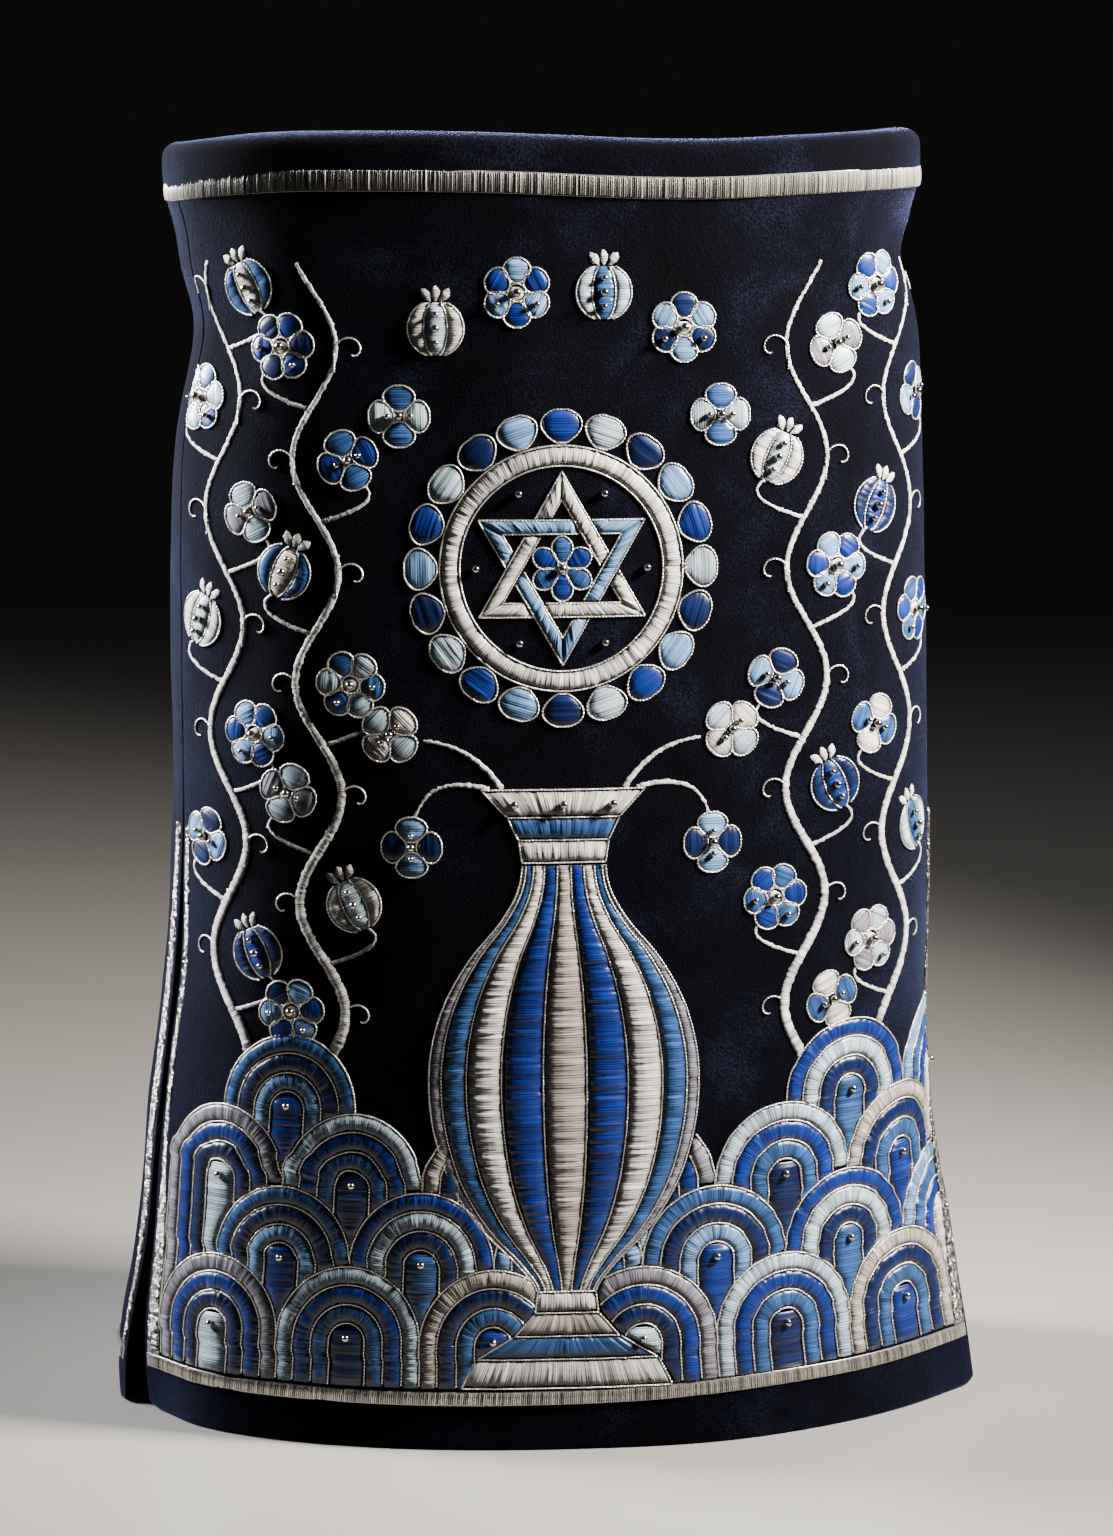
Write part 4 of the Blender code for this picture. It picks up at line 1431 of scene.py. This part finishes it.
# %% The stems and their motifs
STEMS = ((-0.1190, 0.2150, 1), (-0.1690, 0.2430, -1), (0.1230, 0.2150, -1), (0.1790, 0.2430, 1))
STEM_SWING = 0.0110
BEND = 0.0540
STEM_FOOT, STEM_TOP = 0.1450, 0.5800
MOTIF_REACH = 0.0165
MOTIFS = (rosette, pomegranate, quatrefoil)
MOTIF_COLOURS = (("royal", "light"), ("ice", "mid"), ("navy", "royal"), ("silver", "ice"),
                 ("mid", "silver"), ("light", "navy"), ("mauve", "ice"), ("royal", "mid"))


def stem_half(share):
    return 0.0034 - 0.0024 * share**0.8


def sew_twig(path, base, tip):
    """A thin tapered twig along a smooth path through a few points."""
    path = np.asarray(path, float)
    at = np.linspace(0.0, 1.0, len(path))
    fine = np.linspace(0.0, 1.0, 24)
    bent = np.column_stack([np.polyval(np.polyfit(at, path[:, i], len(path) - 1), fine)
                            for i in (0, 1)])
    a, b = across_path(bent, lambda s: base + (tip - base) * s, lambda s: base + (tip - base) * s)
    sew(a, b, "silver", 0.0009)


def behind_arches(points):
    """Which places on the cloth are covered by the arches; above the warp only u is stretched."""
    u, v = points[..., 0], points[..., 1]
    reach = np.where(u < 0.0, -cloth_edge(v, -1), cloth_edge(v, 1)) - BORDER_REACH
    return inside_any(ARCH_OUTLINES, np.stack([u / reach * FIELD_HALF, v], axis=-1))


def sew_stem(number, middle, start, first_side):
    rows = np.arange(STEM_FOOT, STEM_TOP, 0.002)
    wave = np.cos((rows - start) / BEND * math.pi) * STEM_SWING * first_side
    path = np.column_stack([middle + wave, rows])
    a, b = across_path(path, stem_half, stem_half)
    for a_run, b_run in trim(a, b, behind_arches):
        sew(a_run, b_run, "silver", 0.0013)
    bends = np.arange(start, STEM_TOP - 0.010, BEND)
    for index, height in enumerate(bends):
        side = first_side * (1 if index % 2 == 0 else -1)
        centre = (middle - side * MOTIF_REACH * 0.98, height)
        kind = MOTIFS[(index + number) % len(MOTIFS)]
        outer, inner = MOTIF_COLOURS[(index * 3 + number * 2) % len(MOTIF_COLOURS)]
        lean = -side * 24.0
        low = height - 0.030
        if low > STEM_FOOT + 0.060:
            join = middle + np.cos((low - start) / BEND * math.pi) * STEM_SWING * first_side
            below, foot = placed(centre, lean)([(0.0, -0.0215), (0.0, -0.0110)])
            sew_twig([(join, low), below, foot], 0.0012, 0.0008)
        kind(centre, lean, outer, inner)
        curl_start = np.array((middle + side * STEM_SWING * 0.92, height - 0.012))
        turns = np.linspace(0.0, 1.5 * math.pi, 26)
        radius = 0.0085 * (1.0 - turns / (1.9 * math.pi))
        curl = np.column_stack([curl_start[0] + side * (0.0085 - radius * np.cos(turns)),
                                curl_start[1] + 0.010 + radius * np.sin(turns)])
        couch(np.vstack([curl_start, curl]))


for number, stem in enumerate(STEMS):
    sew_stem(number, *stem)
CROWN_ROW = ((-0.060, 0.5480, 3), (-0.021, 0.5650, 0), (0.021, 0.5650, 1), (0.060, 0.5480, 5))
for index, (u, v, pair) in enumerate(CROWN_ROW):
    MOTIFS[(index + 1) % 2](np.array((u, v)), 0.0, *MOTIF_COLOURS[pair])
for side in (-1, 1):
    for index, (u, v) in enumerate(((0.078, 0.5060), (0.084, 0.3530), (0.074, 0.2980))):
        quatrefoil(np.array((side * u, v)), 45.0 * index, *MOTIF_COLOURS[(index * 2 + 1) % 8])
    sew_twig([(side * 0.030, 0.3265), (side * 0.046, 0.3430), (side * 0.068, 0.3500)], 0.0016, 0.0008)
    sew_twig([(side * 0.036, 0.3265), (side * 0.060, 0.3270), (side * 0.072, 0.3130)], 0.0014, 0.0008)
embroidery = [finish_sewing(colour) for colour in THREADS]
print("cords noted:", len(cord_lines), "beads noted:", len(beads["size"]))

# %% [markdown]
# ## Making the cords and the beads
# The noted lines become edges, and one tree sweeps a flattened ring along them all while it turns,
# which gives the rise and fall of a two ply cord. The beads are one small ball set on every noted
# point and scaled by its size.

# %% The cord tree
TWIST_STEP = 0.00095
TWIST_LENGTH = 0.0034
CORD_SIDES = 6
CORD_FLATNESS = 0.50
SPLIT_HEIGHT = 0.215


def cord_tree():
    tree, start, end = new_tree("twist_cord", Cord_width="Float", Step="Float",
                                Twist_length="Float", Material="Material")
    lines = add_node(tree, "GeometryNodeMeshToCurve", {"Mesh": start["Geometry"]})
    even = add_node(tree, "GeometryNodeResampleCurve",
                    {"Curve": lines.outputs[0], "Length": start["Step"]}, mode="LENGTH")
    length = add_node(tree, "GeometryNodeSplineParameter").outputs["Length"]
    turns = maths(tree, "DIVIDE", length, start["Twist length"])
    angle = maths(tree, "MULTIPLY", turns, 2.0 * math.pi)
    tilted = add_node(tree, "GeometryNodeSetCurveTilt", {"Curve": even.outputs[0], "Tilt": angle})
    flat = add_node(tree, "GeometryNodeTransform",
                    {"Geometry": ring(tree, start["Cord width"], CORD_SIDES),
                     "Scale": (1.0, CORD_FLATNESS, 1.0)})
    swept = sweep(tree, tilted.outputs[0], flat.outputs[0])
    return end_tree(tree, swept, start["Material"], end)


TWIST_CORD = cord_tree()


def make_cords(name, chosen):
    spots, edges, stitch = [], [], []
    for line, lift in chosen:
        first = len(spots)
        spots.extend(on_cloth(line[:, 0], line[:, 1], lift))
        edges.extend((first + i, first + i + 1) for i in range(len(line) - 1))
        stitch.extend((i * CORD_STEP, i * 0.7, rng.uniform(0.8, 1.2)) for i in range(len(line)))
    mesh = line_mesh(name, spots, edges, stitch=stitch)
    return run_tree(name, TWIST_CORD, mesh, {
        "Cord width": CORD_WIDTH, "Step": TWIST_STEP, "Twist length": TWIST_LENGTH,
        "Material": SILVER_CORD})


low_cords = make_cords("cord_low", [c for c in cord_lines if c[0][:, 1].mean() < SPLIT_HEIGHT])
high_cords = make_cords("cord_high", [c for c in cord_lines if c[0][:, 1].mean() >= SPLIT_HEIGHT])
for piece in (low_cords, high_cords):
    print(piece.name, "faces:", len(piece.data.polygons))

# %% The beads
BEAD_SEGMENTS, BEAD_RINGS = 10, 6
BEAD_MARKS, BEAD_ROUGHNESS = 900.0, (0.08, 0.22)
BEAD_METAL, bead_tree, bead_shader = new_finish(
    "bead_metal", Base_Color=(0.40, 0.37, 0.32, 1.0), Metallic=1.0, Roughness=0.16)
bead_place = add_node(bead_tree, "ShaderNodeTexCoord").outputs["Object"]
bead_marks = noise_at(bead_tree, bead_place, BEAD_MARKS, 1.0)
bead_rough = map_range(bead_tree, bead_marks, (0.0, 1.0), BEAD_ROUGHNESS)
bead_tree.links.new(bead_rough, bead_shader.inputs["Roughness"])


def bead_nodes():
    tree, start, end = new_tree("set_beads", Material="Material")
    ball = add_node(tree, "GeometryNodeMeshUVSphere",
                    {"Segments": BEAD_SEGMENTS, "Rings": BEAD_RINGS, "Radius": 0.5})
    turn = add_node(tree, "FunctionNodeAlignRotationToVector",
                    {"Vector": named(tree, "outward", "FLOAT_VECTOR")}, axis="Z")
    laid = set_on_points(tree, start["Geometry"], ball.outputs["Mesh"], turn.outputs[0],
                         named(tree, "size", "FLOAT"))
    return end_tree(tree, laid, start["Material"], end)


bead_points = line_mesh("beads", beads["spots"], outward=beads["outward"], size=beads["size"])
bead_piece = run_tree("beads", bead_nodes(), bead_points, {"Material": BEAD_METAL})
print("beads:", len(beads["size"]), "faces:", len(bead_piece.data.polygons))

# %% [markdown]
# ## What each piece stands for
# The last step hangs every piece on the root body and hides the frame's plain parts that the cloth
# and the bands stand in for; the embroidery, cords and beads hang on the root body too. The last
# cell prints the area of one layer of each cloth piece, the size it was cut to before it was sewn up.

# %% Ride and replace
STANDS_FOR = (
    (front_velvet, "front_panel", "velvet"), (back_velvet, "back_panel", "velvet"),
    (heading_velvet, "heading", "velvet"), (top_velvet, "top_panel", "velvet"),
    (top_band, "top_band", "silver_satin"), (front_hem, "front_hem_border", "silver_satin"),
    (back_hem, "back_hem_border", "silver_satin"),
    *((border, node, "silver_satin") for node, border in side_borders.items()))
SEWN_ON = (*((piece, "embroidery") for piece in embroidery), (low_cords, "silver_cord"),
           (high_cords, "silver_cord"), (bead_piece, "beads"))
for piece, node, slot in STANDS_FOR:
    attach(piece, "root")
    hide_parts(node)
for piece, slot in SEWN_ON:
    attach(piece, "root")
print("pieces:", len(STANDS_FOR) + len(SEWN_ON))

# %% Cloth and its cut sizes
for piece in (front_velvet, back_velvet, heading_velvet, top_velvet):
    print(piece.name, "area of one layer: %.4f" % (sum(f.area for f in piece.data.polygons) / 2.0))
